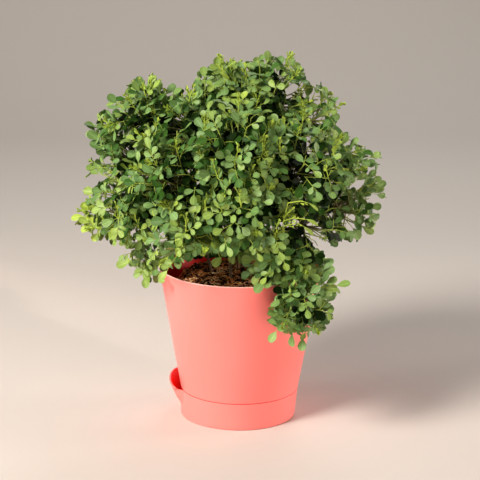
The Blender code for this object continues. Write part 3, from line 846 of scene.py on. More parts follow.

# Single twigs that stand out of the crown in the photograph: their spray, the pixel of the
# tip of the end leaf, how far back that is in millimetres, whether they end in a shoot, and
# their tone where it isn't the spray's: a high one is painted light on leaves low over the
# soil, and a low one is painted shade on leaves at the back over the soil.
sprigsSeen = [
    ("left_top", 107, 95, -4, False), ("left_top", 130, 84, 4, False), ("left_top", 137, 76, 0, False),
    ("left_top", 150, 78, 0, True), ("left_top", 158, 80, 0, False), ("left_top", 173, 83, 0, False),
    ("left_upper", 104, 111, 0, False), ("left_upper", 86, 123, 0, False), ("left_upper", 87, 132, 4, False),
    ("left_upper", 90, 143, 4, False), ("left_upper", 86, 168, -10, True), ("left_middle", 94, 163, -10, False),
    ("left_middle", 83, 190, -10, False), ("left_low", 71, 217, 0, False), ("left_low", 92, 240, 0, False),
    ("left_low", 80, 206, 0, True), ("left_hanging", 117, 266, -24, False),
    ("left_hanging", 146, 288, -34, False), ("left_hanging", 128, 256, -30, False),
    ("left_hanging", 163, 282, -52, False), ("left_hanging", 156, 276, -50, False),
    ("top_left", 198, 80, -10, False), ("top_left", 204, 67, -10, False), ("top_left", 201, 92, -14, False),
    ("top_middle", 217, 57, 0, False), ("top_middle", 232, 61, 0, True), ("top_middle", 243, 63, 0, True),
    ("top_right", 254, 57, 0, False), ("top_right", 266, 51, 0, False), ("top_right", 281, 60, 0, False),
    ("top_right", 291, 57, 0, True), ("top_right", 300, 63, 0, False), ("top_right", 303, 75, 0, False),
    ("shoulder", 311, 85, 0, False), ("shoulder", 326, 88, 0, True), ("shoulder", 339, 98, 0, False),
    ("shoulder", 340, 117, 0, False), ("shoulder", 326, 110, 0, False), ("shoulder", 329, 127, -5, False),
    ("right_upper", 336, 129, 5, False), ("right_upper", 346, 133, 5, False),
    ("right_upper", 356, 138, 5, False), ("right_upper", 366, 150, 5, True),
    ("right_upper", 381, 153, 5, False), ("right_upper", 376, 161, 5, False),
    ("right_middle", 386, 181, 0, False), ("right_middle", 388, 193, 0, False),
    ("right_middle", 381, 206, 0, False), ("right_middle", 380, 216, -5, False),
    ("right_middle", 374, 233, -5, False), ("right_middle", 362, 239, -8, False),
    ("right_middle", 348, 239, -12, False), ("right_middle", 340, 238, -16, False),
    ("front_low_right", 330, 243, -30, False), ("hanging_right", 331, 257, -80, False),
    ("hanging_right", 335, 269, -84, False), ("hanging_right", 337, 278, -84, False),
    ("hanging_right", 350, 284, -85, False), ("hanging_right", 333, 295, -88, False),
    ("hanging_right", 334, 311, -90, False), ("hanging_right", 328, 324, -94, False),
    ("hanging_right", 319, 333, -96, False), ("hanging_right", 303, 351, -97, False),
    ("hanging_right", 290, 347, -99, False), ("hanging_right", 269, 343, -100, False),
    ("hanging_right", 268, 329, -100, False), ("hanging_right", 268, 316, -100, False),
    ("hanging_right", 271, 303, -98, False), ("rim_right", 240, 277, -62, False),
    ("rim_right", 250, 283, -68, False), ("rim_right", 265, 289, -82, False),
    ("rim_right", 255, 293, -84, False), ("rim_right", 246, 268, -60, False),
    ("rim_right", 257, 262, -74, False), ("rim_right", 272, 268, -84, False),
    ("rim_right", 262, 276, -80, False), ("rim_right", 285, 286, -92, False),
    ("rim_right", 276, 281, -88, False), ("rim_right", 294, 272, -90, False),
    ("rim_right", 304, 264, -90, False), ("rim_right", 308, 284, -92, False),
    ("front_low_left", 177, 268, -60, False), ("front_low_left", 181, 258, -66, False, 0.7),
    ("front_low_left", 188, 258, -66, True, 0.74), ("front_low_left", 195, 257, -66, False, 0.72),
    ("front_low_left", 202, 257, -64, False, 0.72), ("front_low_left", 208, 244, -70, False, 0.66),
    ("front_low_left", 176, 250, -70, False, 0.7), ("front_low_left", 186, 247, -76, False, 0.74),
    ("front_low_left", 194, 246, -76, False, 0.7), ("front_low_left", 201, 245, -74, False, 0.72),
    ("front_low", 214, 266, -54, False, 0.66), ("front_low", 229, 264, -56, False, 0.64),
    ("front_low", 237, 256, -60, False, 0.6), ("front_low", 224, 256, -56, False, 0.66),
    ("front_low", 219, 248, -64, False, 0.62), ("front_low", 244, 254, -62, False),
    ("front_low", 232, 249, -66, False), ("front_low", 250, 262, -68, False),
    ("back_left", 186, 254, 26, False), ("back_left", 197, 255, 30, False),
    ("back_left", 185, 259, 34, False, 0.2), ("back_left", 191, 260, 36, False, 0.14),
    ("back_left", 197, 260, 40, False, 0.12), ("back_left", 202, 259, 42, False, 0.16),
    ("back_middle", 207, 259, 42, False, 0.12), ("back_middle", 212, 258, 42, False, 0.14),
    ("back_middle", 217, 259, 40, False, 0.12), ("back_middle", 222, 258, 42, False, 0.2),
    ("back_middle", 228, 259, 40, False, 0.14), ("back_middle", 234, 259, 38, False, 0.16),
    ("back_middle", 205, 254, 34, False), ("back_middle", 213, 254, 34, False, 0.16),
    ("back_middle", 221, 254, 30, False, 0.2), ("back_middle", 240, 257, 30, False),
    ("back_middle", 248, 258, 26, False), ("back_right", 256, 258, 24, False),
    ("back_right", 264, 257, 24, False), ("back_right", 274, 256, 20, False),
    ("front_low_right", 310, 243, -20, False), ("front_low_right", 320, 245, -20, False),
    ("front_low_right", 316, 236, -10, False), ("front_low_right", 326, 236, 0, False),
    ("front_low", 242, 262, -60, False), ("right_upper", 371, 163, 0, False),
    ("right_middle", 375, 169, 0, False), ("right_middle", 380, 176, 0, False),
    ("right_middle", 384, 186, -6, False), ("right_middle", 371, 177, -8, False),
    ("right_middle", 366, 172, -4, False),
]

# Where the background shows through the crown, as pixels with a radius, and hollows whose
# leaves stand far back in the dark, with the depth in millimetres where they begin.
gapsSeen = [
    (297, 88, 3), (303, 93, 2), (290, 89, 2), (290, 96, 2), (285, 108, 2.5), (311, 91, 4), (319, 101, 2.5),
    (317, 112, 4.5), (315, 119, 3), (322, 120, 4), (309, 138, 2.5), (309, 146, 2.5), (310, 152, 2),
    (294, 169, 2.5), (297, 177, 3), (300, 180, 2.5), (311, 172, 2), (329, 153, 2), (334, 181, 2),
    (359, 185, 3), (363, 178, 2), (349, 188, 2), (353, 194, 1.5), (371, 199, 3), (359, 171, 1), (329, 216, 2), (352, 217, 4.5), (350, 225, 5), (343, 222, 2.5),
    (336, 232, 2), (296, 226, 2), (179, 118, 2), (124, 153, 2), (191, 151, 2),
    (189, 170, 3), (199, 182, 2.5), (107, 161, 3), (101, 177, 3), (107, 174, 2.5), (170, 93, 2.5),
    (110, 194, 2), (277, 68, 2), (280, 77, 2), (345, 172, 2), (340, 160, 2), (111, 162, 1.5),
    (105, 173, 2), (114, 179, 1.5), (103, 197, 1.5), (105, 210, 2), (111, 213, 2), (133, 215, 1.5),
    (134, 230, 1.5), (161, 235, 2), (155, 250, 2), (283, 338, 2), (295, 341, 2),
]
hollowsSeen = [
    (176, 126, 7, 0), (172, 135, 5, 0), (187, 156, 5, -10), (178, 180, 6, -20), (170, 189, 6, -20),
    (124, 152, 5, 0), (233, 188, 5, -30), (233, 127, 5, -20), (298, 173, 6, -20), (276, 232, 6, -60),
    (312, 232, 11, -20), (322, 240, 8, -10), (296, 222, 8, -40), (203, 239, 8, -40), (250, 120, 5, -30),
    (210, 140, 5, -30), (145, 175, 5, 0), (340, 205, 7, 0), (224, 226, 6, -50),
]

# Thin pale young stems that arch in front of the crown, as pixels with their depth in
# millimetres, and whether each ends in a narrow leaf.
whipsSeen = [
    ([(283, 240, -88), (283, 224, -94), (286, 212, -98), (288, 203, -100)], False),
    ([(288, 203, -100), (301, 201, -104), (308, 203, -105)], True),
    ([(284, 221, -96), (293, 218, -102), (305, 219, -104)], True),
    ([(284, 226, -95), (297, 223, -101), (303, 226, -102)], True),
    ([(283, 218, -96), (288, 213, -100), (294, 208, -101)], False),
    ([(205, 200, -90), (206, 218, -94), (210, 234, -84), (217, 250, -70), (222, 262, -50)], False),
    ([(176, 205, -88), (178, 225, -90), (180, 238, -80)], False),
    ([(196, 238, -80), (207, 235, -80), (213, 241, -74), (219, 250, -66), (222, 256, -60)], False),
]

growth = {
    "seed": 41,
    "shoots": 0.75,
    "light": Vector((-0.35, -0.45, 0.82)),
    "middle": Vector((-8, 5, 217)) * mm,
    "tipSpacing": 21.5 * mm,
    "leafReach": 14 * mm,
    "leafyLength": 20 * mm,
    "nodeSpacing": 3.9 * mm,
    "leaflet": (9.2 * mm, 12.8 * mm),
    "apart": 3.5 * mm,
    "twigRadius": 0.7 * mm,
    "rachisRadius": 0.3 * mm,
}


def insideEdge(point):
    # even-odd test of the point's pixel against the crown's edge
    u, v = seenAt(point)
    inside = False
    for (u1, v1), (u2, v2) in zip(crownEdge, crownEdge[1:] + crownEdge[:1]):
        if (v1 > v) != (v2 > v) and u < u1 + (v - v1) / (v2 - v1) * (u2 - u1):
            inside = not inside
    return inside


def clearOfPot(point, margin=1.2 * mm):
    # outside the pot's cone, above its rim, or above the soil inside it
    radius = math.hypot(point.x, point.y)
    if point.z < potSize["rimHeight"] + margin and radius > coneRadius(point.z) - potSize["rimWall"] - margin:
        return radius > coneRadius(point.z) + margin
    return point.z > soilHeight(radius) + 2 * mm


def insideBox(point, margin):
    low, high = cadBox
    return all(low[i] - margin < point[i] < high[i] + margin for i in range(3))


def buried(point, name):
    # true where another spray's twigs already cover the point
    for other, spray in sprays.items():
        if other == name:
            continue
        covered = spray["reach"] * mm - growth["leafReach"]
        if (point - Vector(spray["at"]) * mm).length < 0.7 * covered:
            return True
    return False


def inGap(point):
    # true in a gap of the crown, or in front of the start of a hollow
    u, v = seenAt(point)
    if any(math.hypot(u - gu, v - gv) < radius + 1.5 for gu, gv, radius in gapsSeen):
        return True
    return any(math.hypot(u - hu, v - hv) < radius and point.y < y * mm for hu, hv, radius, y in hollowsSeen)


taken = {}


def cellOf(point):
    return tuple(int(math.floor(value / growth["apart"])) for value in point)


def tooClose(point):
    # true if another leaflet's middle is nearer than growth's apart
    cell = cellOf(point)
    for dx in (-1, 0, 1):
        for dy in (-1, 0, 1):
            for dz in (-1, 0, 1):
                for other in taken.get((cell[0] + dx, cell[1] + dy, cell[2] + dz), ()):
                    if (other - point).length < growth["apart"]:
                        return True
    return False


def jitter(rng, amount):
    return Vector((rng.uniform(-1, 1), rng.uniform(-1, 1), rng.uniform(-1, 1))) * amount


def bladeTurn(along, facing):
    # Y runs along the blade and Z is its upper face
    y = along.normalized()
    z = (facing - y * facing.dot(y)).normalized()
    return Matrix((y.cross(z), y, z)).transposed().to_euler()


def growLeaf(rng, grown, base, along, facing, blade, pairs, tone, edge=True):
    # one pinnate leaf: a thin arched rachis with leaflets in loose pairs and one at its end
    along = along.normalized()
    facing = (facing - along * facing.dot(along)).normalized()
    across = along.cross(facing)
    length = (4.5 + 4.2 * pairs) * mm * rng.uniform(0.85, 1.15)
    arch = rng.uniform(0.02, 0.14) * length

    def onRachis(share):
        return base + along * (length * share) + facing * (4 * arch * share * (1 - share))

    wanted = [(onRachis(1), along + jitter(rng, 0.12), facing + jitter(rng, 0.2), 1.08 * blade)]
    for i in range(pairs):
        for side in (-1, 1):
            share = 0.36 + 0.52 * (i + 0.16 * (side + 1)) / pairs
            angle = math.radians(rng.uniform(50, 68) - 8 * i)
            way = along * math.cos(angle) + across * (side * math.sin(angle))
            face = facing - across * (0.22 * side) + jitter(rng, 0.22)
            size = blade * (0.66 + 0.24 * (i + 1) / pairs) * rng.uniform(0.85, 1.08)
            wanted.append((onRachis(share), way, face, size))
    kept = []
    for at, way, face, size in wanted:
        way = way.normalized()
        middle, tip = at + way * (0.6 * size), at + way * size
        if (edge and not insideEdge(at + way * (0.85 * size))) or not insideBox(tip, 2 * mm):
            continue
        if not (clearOfPot(middle) and clearOfPot(tip)) or tooClose(middle):
            continue
        if edge and (inGap(middle) or inGap(tip)):
            continue
        kept.append((at, way, face, size, middle))
    if len(kept) < 0.4 * len(wanted):
        return
    for at, way, face, size, middle in kept:
        taken.setdefault(cellOf(middle), []).append(middle)
        shade = min(1, max(0, tone + rng.gauss(0, 0.06)))
        addPoint(grown["leaflets"], at, bladeTurn(way, face), size, rng.randrange(4), shade)
    radius = growth["rachisRadius"]
    line = [onRachis(share) for share in (-0.04, 0.35, 0.7, 1.03)]
    grown["paths"].append((line, [1.3 * radius, radius, 0.9 * radius, 0.7 * radius], [0.8] * 4))


def growShoot(rng, grown, at, along, size):
    # a bright young shoot: a soft stalk with tiny folded leaflets on short petioles
    tip = at + along * size
    if not insideBox(tip, 1 * mm) or not clearOfPot(tip):
        return
    radius = 0.5 * mm
    grown["paths"].append(([at, at.lerp(tip, 0.5), tip], [radius, 0.85 * radius, 0.5 * radius], [1, 1, 1]))
    count = rng.randrange(4, 7)
    turn = rng.uniform(0, math.tau)
    for i in range(count):
        share = (i + 0.6) / count
        side = along.orthogonal().normalized()
        side.rotate(Matrix.Rotation(turn + 2.4 * i, 3, along))
        way = (along * (0.75 + 0.5 * share) + side * (0.85 - 0.5 * share)).normalized()
        base = at + along * (size * share)
        stalk = size * rng.uniform(0.3, 0.5) * (1.1 - 0.4 * share)
        end = base + way * stalk
        grown["paths"].append(([base, end], [0.3 * mm, 0.2 * mm], [1, 1]))
        for step in range(rng.randrange(3, 6)):
            spread = side.cross(along) * rng.uniform(-0.9, 0.9)
            leafWay = (way + spread + jitter(rng, 0.25)).normalized()
            spot = base.lerp(end, 0.4 + 0.15 * step)
            length = rng.uniform(2.4, 4.6) * mm
            if insideBox(spot + leafWay * length, 2 * mm):
                turned = bladeTurn(leafWay, along - side * 0.5 + jitter(rng, 0.3))
                addPoint(grown["leaflets"], spot, turned, length, 4, rng.uniform(0.8, 1))


def growTwig(rng, grown, start, end, bend, tone, young):
    # a twig from start to end, leafy over its outer part, and perhaps a shoot at its tip
    way = end - start
    length = way.length
    shares = (0, 0.25, 0.5, 0.75, 1)
    radius = growth["twigRadius"]
    points = [start + way * share + bend * share**2 for share in shares]
    radii = [radius * (1.15 - 0.5 * share) for share in shares]
    grown["paths"].append((points, radii, [0.15, 0.25, 0.4, 0.6, 0.8]))
    turn = rng.uniform(0, math.tau)
    tone += rng.gauss(0, 0.07)
    back = 0
    while back < max(length, 2 * growth["nodeSpacing"]):
        share = 1 - back / length
        depth = min(1, back / growth["leafyLength"])
        at = start + way * share + bend * (share * abs(share))
        along = (way + bend * (2 * share)).normalized()
        side = along.orthogonal().normalized()
        side.rotate(Matrix.Rotation(turn, 3, along))
        turn += 2.4
        lean = math.radians(rng.uniform(36, 58) + 30 * depth)
        leafWay = along * math.cos(lean) + side * math.sin(lean)
        out = (at - growth["middle"]).normalized()
        facing = (along * math.sin(lean) - side * math.cos(lean)) * 0.6
        facing += out * 0.35 + growth["light"] * 0.4 + jitter(rng, 0.25)
        blade = rng.uniform(*growth["leaflet"]) * (0.82 + 0.3 * min(0.6, depth))
        pairs = rng.choice((1, 1, 2)) if depth < 0.3 else rng.choice((1, 2, 2))
        # leaves further back along the twig are older and darker, and are darkened more as painted shade for the
        # crown's inside
        growLeaf(rng, grown, at, leafWay, facing, blade, pairs, tone + 0.1 - 0.62 * depth)
        back += growth["nodeSpacing"] * (1 + 1.6 * depth) * rng.uniform(0.8, 1.2)
    if rng.random() < growth["shoots"] * young:
        growShoot(rng, grown, points[-1], (way + bend * 2).normalized(), rng.uniform(7, 11) * mm)


def spherePoints(count, turn):
    golden = math.pi * (3 - math.sqrt(5))
    for i in range(count):
        height = 1 - 2 * (i + 0.5) / count
        ring = math.sqrt(1 - height * height)
        yield Vector((ring * math.cos(i * golden + turn), ring * math.sin(i * golden + turn), height))


def roomAlong(centre, way, wanted):
    # how far a twig can go before its leaves would pass the crown's edge
    steps = 16
    for i in range(1, steps + 1):
        if not insideEdge(centre + way * (wanted * i / steps)):
            return wanted * (i - 1) / steps
    return wanted


def spurPoint(spray, rng):
    # where a twig leaves its branch, somewhere on the outer part
    line = branchLine(stems[spray["stem"]], spray)
    place = rng.uniform(0.6, 1) * (len(line) - 1)
    index = min(len(line) - 2, int(place))
    return line[index].lerp(line[index + 1], place - index)


def growSpray(name, spray, rng, grown):
    centre = Vector(spray["at"]) * mm
    ball = spray["reach"] * mm - growth["leafReach"]
    count = round(4 * math.pi * (ball / growth["tipSpacing"]) ** 2 * spray.get("dense", 1))
    for way in spherePoints(count, rng.uniform(0, math.tau)):
        way = (way + jitter(rng, 0.2)).normalized()
        wanted = ball * rng.uniform(0.72, 1.14) + 0.8 * growth["leafReach"]
        length = roomAlong(centre, way, wanted) - 0.8 * growth["leafReach"]
        tip = centre + way * length
        if length < 5 * mm or (buried(tip, name) and rng.random() < 0.85) or not clearOfPot(tip):
            continue
        bend = Vector((0, 0, 0.14 * length)) + jitter(rng, 0.2 * length)
        growTwig(rng, grown, spurPoint(spray, rng), tip - bend, bend, spray["tone"], spray["young"])


def pixelRay(u, v):
    # the line of sight through a pixel
    focal = camera["lens"] / camera["sensor"] * camera["frame"]
    half = camera["frame"] / 2
    way = Vector(((u - half) / focal, (half - v) / focal, -1)).normalized()
    return intoCamera.inverted().to_3x3() @ way


def sprayAt(u, v):
    # the spray that shows at a pixel, and the point of its surface there
    way = pixelRay(u, v)
    nearest = None
    for name, spray in sprays.items():
        centre = Vector(spray["at"]) * mm - camera["at"]
        radius = spray["reach"] * mm - 10 * mm
        along = centre.dot(way)
        off = centre.length_squared - along * along
        if off < radius * radius:
            distance = along - math.sqrt(radius * radius - off)
            if nearest is None or distance < nearest[0]:
                nearest = (distance, name)
    if nearest is None:
        return None, None
    return nearest[1], camera["at"] + way * nearest[0]


def growSeenShoots(grownSprays):
    # the shoots of the photograph, on a twig each from the middle of their spray
    rng = random.Random(growth["seed"] - 1)
    for u, v in shootsSeen:
        name, spot = sprayAt(u, v)
        if name is None:
            continue
        grown = grownSprays[name]
        start = spurPoint(sprays[name], rng)
        upwards = Vector((rng.uniform(-0.3, 0.3), -0.15, 1)).normalized()
        base = spot - upwards * (6 * mm)
        growTwig(rng, grown, start, base, Vector((0, 0, 0)), sprays[name]["tone"], 0)
        growShoot(rng, grown, base, upwards, rng.uniform(11, 15) * mm)


def seenPoint(u, v, depth):
    # the point that shows at a pixel, depth millimetres back along Y
    way = pixelRay(u, v)
    return camera["at"] + way * ((depth * mm - camera["at"].y) / way.y)


def growSprigs(grownSprays):
    # a bare thin twig from the middle of its spray, with a few leaves at its end
    rng = random.Random(growth["seed"] - 2)
    for name, u, v, depth, ends, *given in sprigsSeen:
        grown = grownSprays[name]
        start = spurPoint(sprays[name], rng)
        end = seenPoint(u, v, depth)
        along = (end - start).normalized()
        blade = rng.uniform(9.5, 12.5) * mm
        end = end - along * (1.08 * blade + 4.5 * mm)
        line = [start.lerp(end, share) for share in (0, 0.4, 0.75, 1)]
        radius = growth["twigRadius"]
        grown["paths"].append((line, [radius, 0.9 * radius, 0.75 * radius, 0.5 * radius], [0.2, 0.4, 0.6, 0.8]))
        turn = rng.uniform(0, math.tau)
        # a given tone paints light on low front leaves and shade on low back ones; otherwise the spray's tone is
        # lifted a little as painted light
        tone = given[0] if given else sprays[name]["tone"] + rng.uniform(0, 0.16)
        for i, (lean, pairs, size) in enumerate(((0, 0, 1), (48, 1, 0.85), (62, 0, 0.9), (66, 1, 0.9), (70, 2, 0.9))):
            side = along.orthogonal().normalized()
            side.rotate(Matrix.Rotation(turn + 2.4 * i, 3, along))
            lean = math.radians(lean)
            leafWay = along * math.cos(lean) + side * math.sin(lean)
            facing = growth["light"] * 0.5 - pixelRay(u, v) * 0.8 + jitter(rng, 0.45)
            growLeaf(rng, grown, end - along * (4 * mm * i), leafWay, facing, size * blade, pairs, tone, i > 0)
        if ends:
            growShoot(rng, grown, end, along + Vector((0, 0, 0.6)), rng.uniform(8, 11) * mm)


def growWhips(grown):
    rng = random.Random(growth["seed"] - 3)
    for corners, ends in whipsSeen:
        points = [seenPoint(u, v, depth) for u, v, depth in corners]
        count = len(points) - 1
        radii = [0.55 * mm * (1.1 - 0.6 * i / count) for i in range(count + 1)]
        grown["paths"].append((points, radii, [1] * (count + 1)))
        along = (points[-1] - points[-2]).normalized()
        if ends:
            leafWay = along - Vector((0, 0, 0.25))
            turned = bladeTurn(leafWay, growth["light"] + jitter(rng, 0.2))
            addPoint(grown["leaflets"], points[-1], turned, rng.uniform(10, 13) * mm, 5, 0.74)
        for i in range(2 * count):
            base = points[0].lerp(points[-1], (i + 1) / (2 * count + 1))
            leafWay = along + jitter(rng, 0.9)
            turned = bladeTurn(leafWay, growth["light"] + jitter(rng, 0.3))
            addPoint(grown["leaflets"], base, turned, rng.uniform(3, 5) * mm, 4, 0.92)


def leafletShape(rows, cup, curl, twist, slim=1):
    # one closed leaflet, 1 long, with its stalk end at the origin: obovate with a round blunt
    # tip and a narrow base, folded a little at the midrib and thickest there
    made = bmesh.new()
    layers = {key: made.verts.layers.float.new(key) for key in ("across", "along", "under")}
    widest = 0.62

    def halfWidth(t):
        if t < widest:
            return 0.33 * slim * math.sin(math.pi / 2 * (t / widest) ** 1.25)
        return 0.33 * slim * math.sqrt(max(0, 1 - ((t - widest) / (1 - widest)) ** 2))

    def place(t, v, level):
        width = halfWidth(t)
        z = cup * (v * v - 0.35) * width - curl * t * t + 0.016 * level * (1 - v * v)
        z += twist * v * width * (t - 0.3)
        vertex = made.verts.new((v * width, t, z))
        vertex[layers["across"]] = v
        vertex[layers["along"]] = t
        vertex[layers["under"]] = max(0, -level)
        return vertex

    base, tip = place(0, 0, 0), place(1, 0, 0)
    edges = [[place(t, -1, 0), place(t, 1, 0)] for t in rows]
    for level in (1, -1):
        strips = [[base] * 3]
        strips += [[left, place(t, 0, level), right] for t, (left, right) in zip(rows, edges)]
        strips.append([tip] * 3)
        for lower, upper in zip(strips, strips[1:]):
            for i in range(2):
                corners = [lower[i], lower[i + 1], upper[i + 1], upper[i]]
                if level < 0:
                    corners.reverse()
                made.faces.new(list(dict.fromkeys(corners)))
    mesh = bpy.data.meshes.new("leaflet")
    made.to_mesh(mesh)
    made.free()
    mesh.shade_smooth()
    mesh.set_sharp_from_angle(angle=math.radians(70))
    return mesh


# Orange jasmine leaflets: thin leathery lamina with a soft wax sheen. Mature ones are a
# greyed mid green, younger ones yellow-green, with a pale midrib and a duller underside.
# The darkest tones are painted shade for leaves deep in the crown, and the lighter tones
# are partly painted light.
lamina = {
    "stops": [(0.0, "#0C1C04"), (0.2, "#32561C"), (0.43, "#65854A"), (0.72, "#7F973E"), (1.0, "#A2B83E")],
    "vein": 1.4,
    "under": "#58783A",
    "roughness": 0.5,
}


def makeLamina():
    made, tree, shader = newMaterial("orange jasmine lamina")
    blade = ramp(tree, attribute(tree, "tone"), lamina["stops"])
    mottle = objectNoise(tree, 5 * mm, 2)
    value = addNode(tree, "ShaderNodeMapRange", {}, {"Value": mottle, "To Min": 0.78, "To Max": 1.22})
    blade = mixColors(tree, 1, blade, value.outputs["Result"], "MULTIPLY")
    pale = mixColors(tree, 1, blade, [lamina["vein"]] * 3 + [1], "MULTIPLY")
    across = addNode(tree, "ShaderNodeMath", {"operation": "ABSOLUTE"}, {0: attribute(tree, "across")})
    for start, end, low, high in ((0.03, 0.16, 1, 0), (0.85, 1, 0, 0.5)):
        inputs = {"Value": across.outputs[0], "From Min": start, "From Max": end, "To Min": low, "To Max": high}
        share = addNode(tree, "ShaderNodeMapRange", {}, inputs)
        blade = mixColors(tree, share.outputs["Result"], blade, pale)
    under = addNode(tree, "ShaderNodeMath", {"operation": "MULTIPLY"}, {0: attribute(tree, "under"), 1: 0.6})
    blade = mixColors(tree, under.outputs[0], blade, hexColor(lamina["under"]))
    tree.links.new(blade, shader.inputs["Base Color"])
    shader.inputs["Roughness"].default_value = lamina["roughness"]
    inputs = {"Value": attribute(tree, "tone"), "From Min": 0.1, "From Max": 0.5, "To Min": 0.05, "To Max": 0.34}
    sheen = addNode(tree, "ShaderNodeMapRange", {}, inputs)
    tree.links.new(sheen.outputs["Result"], shader.inputs["Specular IOR Level"])
    addBump(tree, shader, objectNoise(tree, 1.5 * mm, 2), 0.12 * mm, 0.6)
    return made


# Young bark: thin and pale brown, with a green skin where the twig is young.
def makeBark():
    made, tree, shader = newMaterial("young jasmine bark")
    stops = [(0.0, "#5C4828"), (0.3, "#544C28"), (0.6, "#7C8E38"), (1.0, "#A6BC3A")]
    color = ramp(tree, attribute(tree, "tone"), stops)
    streaks = objectNoise(tree, 2 * mm, 4)
    value = addNode(tree, "ShaderNodeMapRange", {}, {"Value": streaks, "To Min": 0.7, "To Max": 1.25})
    color = mixColors(tree, 1, color, value.outputs["Result"], "MULTIPLY")
    tree.links.new(color, shader.inputs["Base Color"])
    shader.inputs["Roughness"].default_value = 0.7
    addBump(tree, shader, streaks, 0.3 * mm, 0.7)
    return made


bark = makeBark()
leafSkin = makeLamina()
leafRows = (0.14, 0.36, 0.62, 0.84, 0.95)
leafShapes = hiddenCollection(
    "leafletShape",
    [
        leafletShape(leafRows, 0.25, 0.08, 0.0),
        leafletShape(leafRows, 0.5, 0.16, 0.25),
        leafletShape(leafRows, -0.15, 0.24, -0.2, 0.9),
        leafletShape(leafRows, 0.35, -0.06, 0.1, 1.06),
        leafletShape((0.35, 0.75), 0.9, -0.1, 0.0, 0.75),
        leafletShape(leafRows, 0.6, 0.3, 0.0, 0.45),
    ],
)


def makeSprays():
    grownSprays = {name: {"leaflets": emptyPoints(), "paths": []} for name in sprays}
    growSprigs(grownSprays)
    growWhips(grownSprays["front_low_right"])
    growSeenShoots(grownSprays)
    for index, (name, spray) in enumerate(sprays.items()):
        growSpray(name, spray, random.Random(growth["seed"] + index), grownSprays[name])
    total = 0
    for name, grown in grownSprays.items():
        total += len(grown["leaflets"]["at"])
        leaves = scatter("leaves_" + name, leafShapes, grown["leaflets"], leafSkin)
        twigs = tubes("twigs_" + name, grown["paths"], 4, bark)
        mesh = joinMeshes("spray_" + name, [leaves, twigs])
        asPiece("spray_" + name, mesh, ["leafy_spray_" + name])
    report(f"{total} leaflets")


def bezier(p0, p1, p2, p3, t):
    rest = 1 - t
    return p0 * rest**3 + p1 * (3 * rest * rest * t) + p2 * (3 * rest * t * t) + p3 * t**3


# without a seed the noise vectors differ from run to run
noise.seed_set(6)
woodSize = {"trunk": 1.2 * mm, "branch": 1.0 * mm, "bottom": 113 * mm, "wander": 1.4 * mm}


def wander(point):
    # the small bends of a grown stem
    shift = noise.noise_vector(point * 55) * woodSize["wander"]
    return point + Vector((shift.x, shift.y, 0.3 * shift.z))


def trunkLine(stem):
    foot = Vector(stem["foot"]) * mm
    fork = Vector(stem["fork"]) * mm
    low = Vector((foot.x, foot.y, woodSize["bottom"]))
    rise = Vector((foot.x, foot.y, soil["top"] + 12 * mm))
    return [wander(bezier(low, rise, rise.lerp(fork, 0.5), fork, i / 14)) for i in range(15)]


def branchLine(stem, spray):
    start = Vector(stem["fork"]) * mm
    end = Vector(spray["at"]) * mm
    via = [Vector(point) * mm for point in spray.get("via", [])]
    if len(via) == 2:
        return [wander(bezier(start, via[0], via[1], end, i / 12)) for i in range(13)]
    reach = (end - start).length
    first = via[0] if via else start + Vector((0, 0, 0.35 * reach))
    second = end - (end - start).normalized() * (0.3 * reach) + Vector((0, 0, 0.05 * reach))
    return [wander(bezier(start, first, second, end, i / 12)) for i in range(13)]


def makeWood():
    for name, stem in stems.items():
        trunk = trunkLine(stem)
        count = len(trunk) - 1
        radii = [woodSize["trunk"] * (1.15 - 0.35 * i / count) for i in range(count + 1)]
        paths = [(trunk, radii, [0.1] * len(trunk))]
        for spray in sprays.values():
            if spray["stem"] != name:
                continue
            line = [trunk[-1].copy()] + branchLine(stem, spray)[1:]
            count = len(line) - 1
            radii = [woodSize["branch"] * (1.1 - 0.4 * i / count) for i in range(count + 1)]
            paths.append((line, radii, [0.12 + 0.25 * i / count for i in range(count + 1)]))
        mesh = tubes("wood_" + name, paths, 8, bark)
        asPiece("stem_" + name, mesh, ["woody_stem_" + name])
    report("stems")


makeSprays()
makeWood()
dropCollection(leafShapes)

# A pale floor that turns up behind the pot, with soft light from the upper left.
stage = {"floor": "#C4BEB8", "width": 10, "front": -5, "back": 2.2, "height": 3, "curve": 0.8}


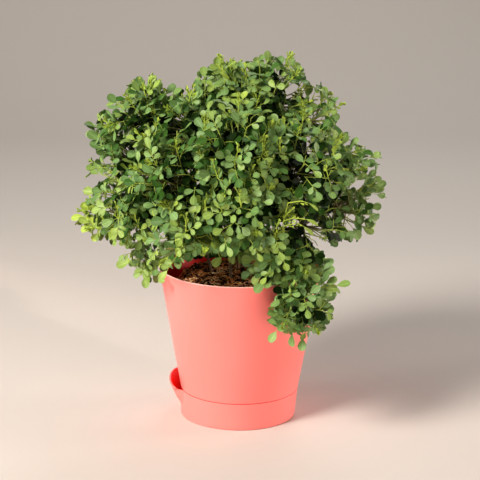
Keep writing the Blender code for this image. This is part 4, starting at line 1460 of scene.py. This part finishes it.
def makeFloor():
    points = [(stage["front"], 0)]
    for i in range(13):
        angle = math.pi / 2 * i / 12
        along = stage["back"] - stage["curve"] + stage["curve"] * math.sin(angle)
        points.append((along, stage["curve"] * (1 - math.cos(angle))))
    points.append((stage["back"], stage["height"]))
    made = bmesh.new()
    half = stage["width"] / 2
    rows = [(made.verts.new((-half, y, z)), made.verts.new((half, y, z))) for y, z in points]
    for (a, b), (c, d) in zip(rows, rows[1:]):
        made.faces.new((a, b, d, c))
    mesh = bpy.data.meshes.new("floor")
    made.to_mesh(mesh)
    made.free()
    mesh.shade_smooth()
    skin, _, shader = newMaterial("matt studio paper")
    shader.inputs["Base Color"].default_value = hexColor(stage["floor"])
    shader.inputs["Roughness"].default_value = 0.8
    mesh.materials.append(skin)
    floor = bpy.data.objects.new("floor", mesh)
    scene.collection.objects.link(floor)


def addLight(name, at, target, size, power, color, spread=180):
    data = bpy.data.lights.new(name, "AREA")
    data.spread = math.radians(spread)
    data.shape = "DISK"
    data.size = size
    data.energy = power
    data.color = hexColor(color)[:3]
    lamp = bpy.data.objects.new(name, data)
    lamp.location = at
    lamp.rotation_euler = (Vector(target) - Vector(at)).to_track_quat("-Z", "Y").to_euler()
    scene.collection.objects.link(lamp)


makeFloor()
addLight("key", (-1.15, -1.15, 1.4), (0, 0, 0.18), 0.7, 66, "#FFF6EC")
addLight("side", (-1.6, -0.5, 0.35), (0, 0, 0.05), 0.6, 1.8, "#FFF2E8", 60)
addLight("fill", (1.1, -1.5, 0.3), (0.02, 0, 0.0), 0.5, 0.36, "#FFE4D2", 40)
addLight("crown", (1.3, -1.0, 0.9), (0.13, 0, 0.25), 0.15, 0.08, "#FFE4D2", 9)
addLight("edge", (1.5, 0.25, 0.3), (0, 0, 0.03), 0.5, 2.2, "#FFEDE4", 60)
addLight("rim", (0.4, 1.4, 1.6), (0, 0, 0.2), 0.8, 12, "#FFFFFF")
world = bpy.data.worlds.new("studio")
world.use_nodes = True
world.node_tree.nodes["Background"].inputs["Color"].default_value = hexColor("#F2EDE8")
world.node_tree.nodes["Background"].inputs["Strength"].default_value = 0.12
scene.world = world
scene.view_settings.view_transform = "Standard"
report("stage")
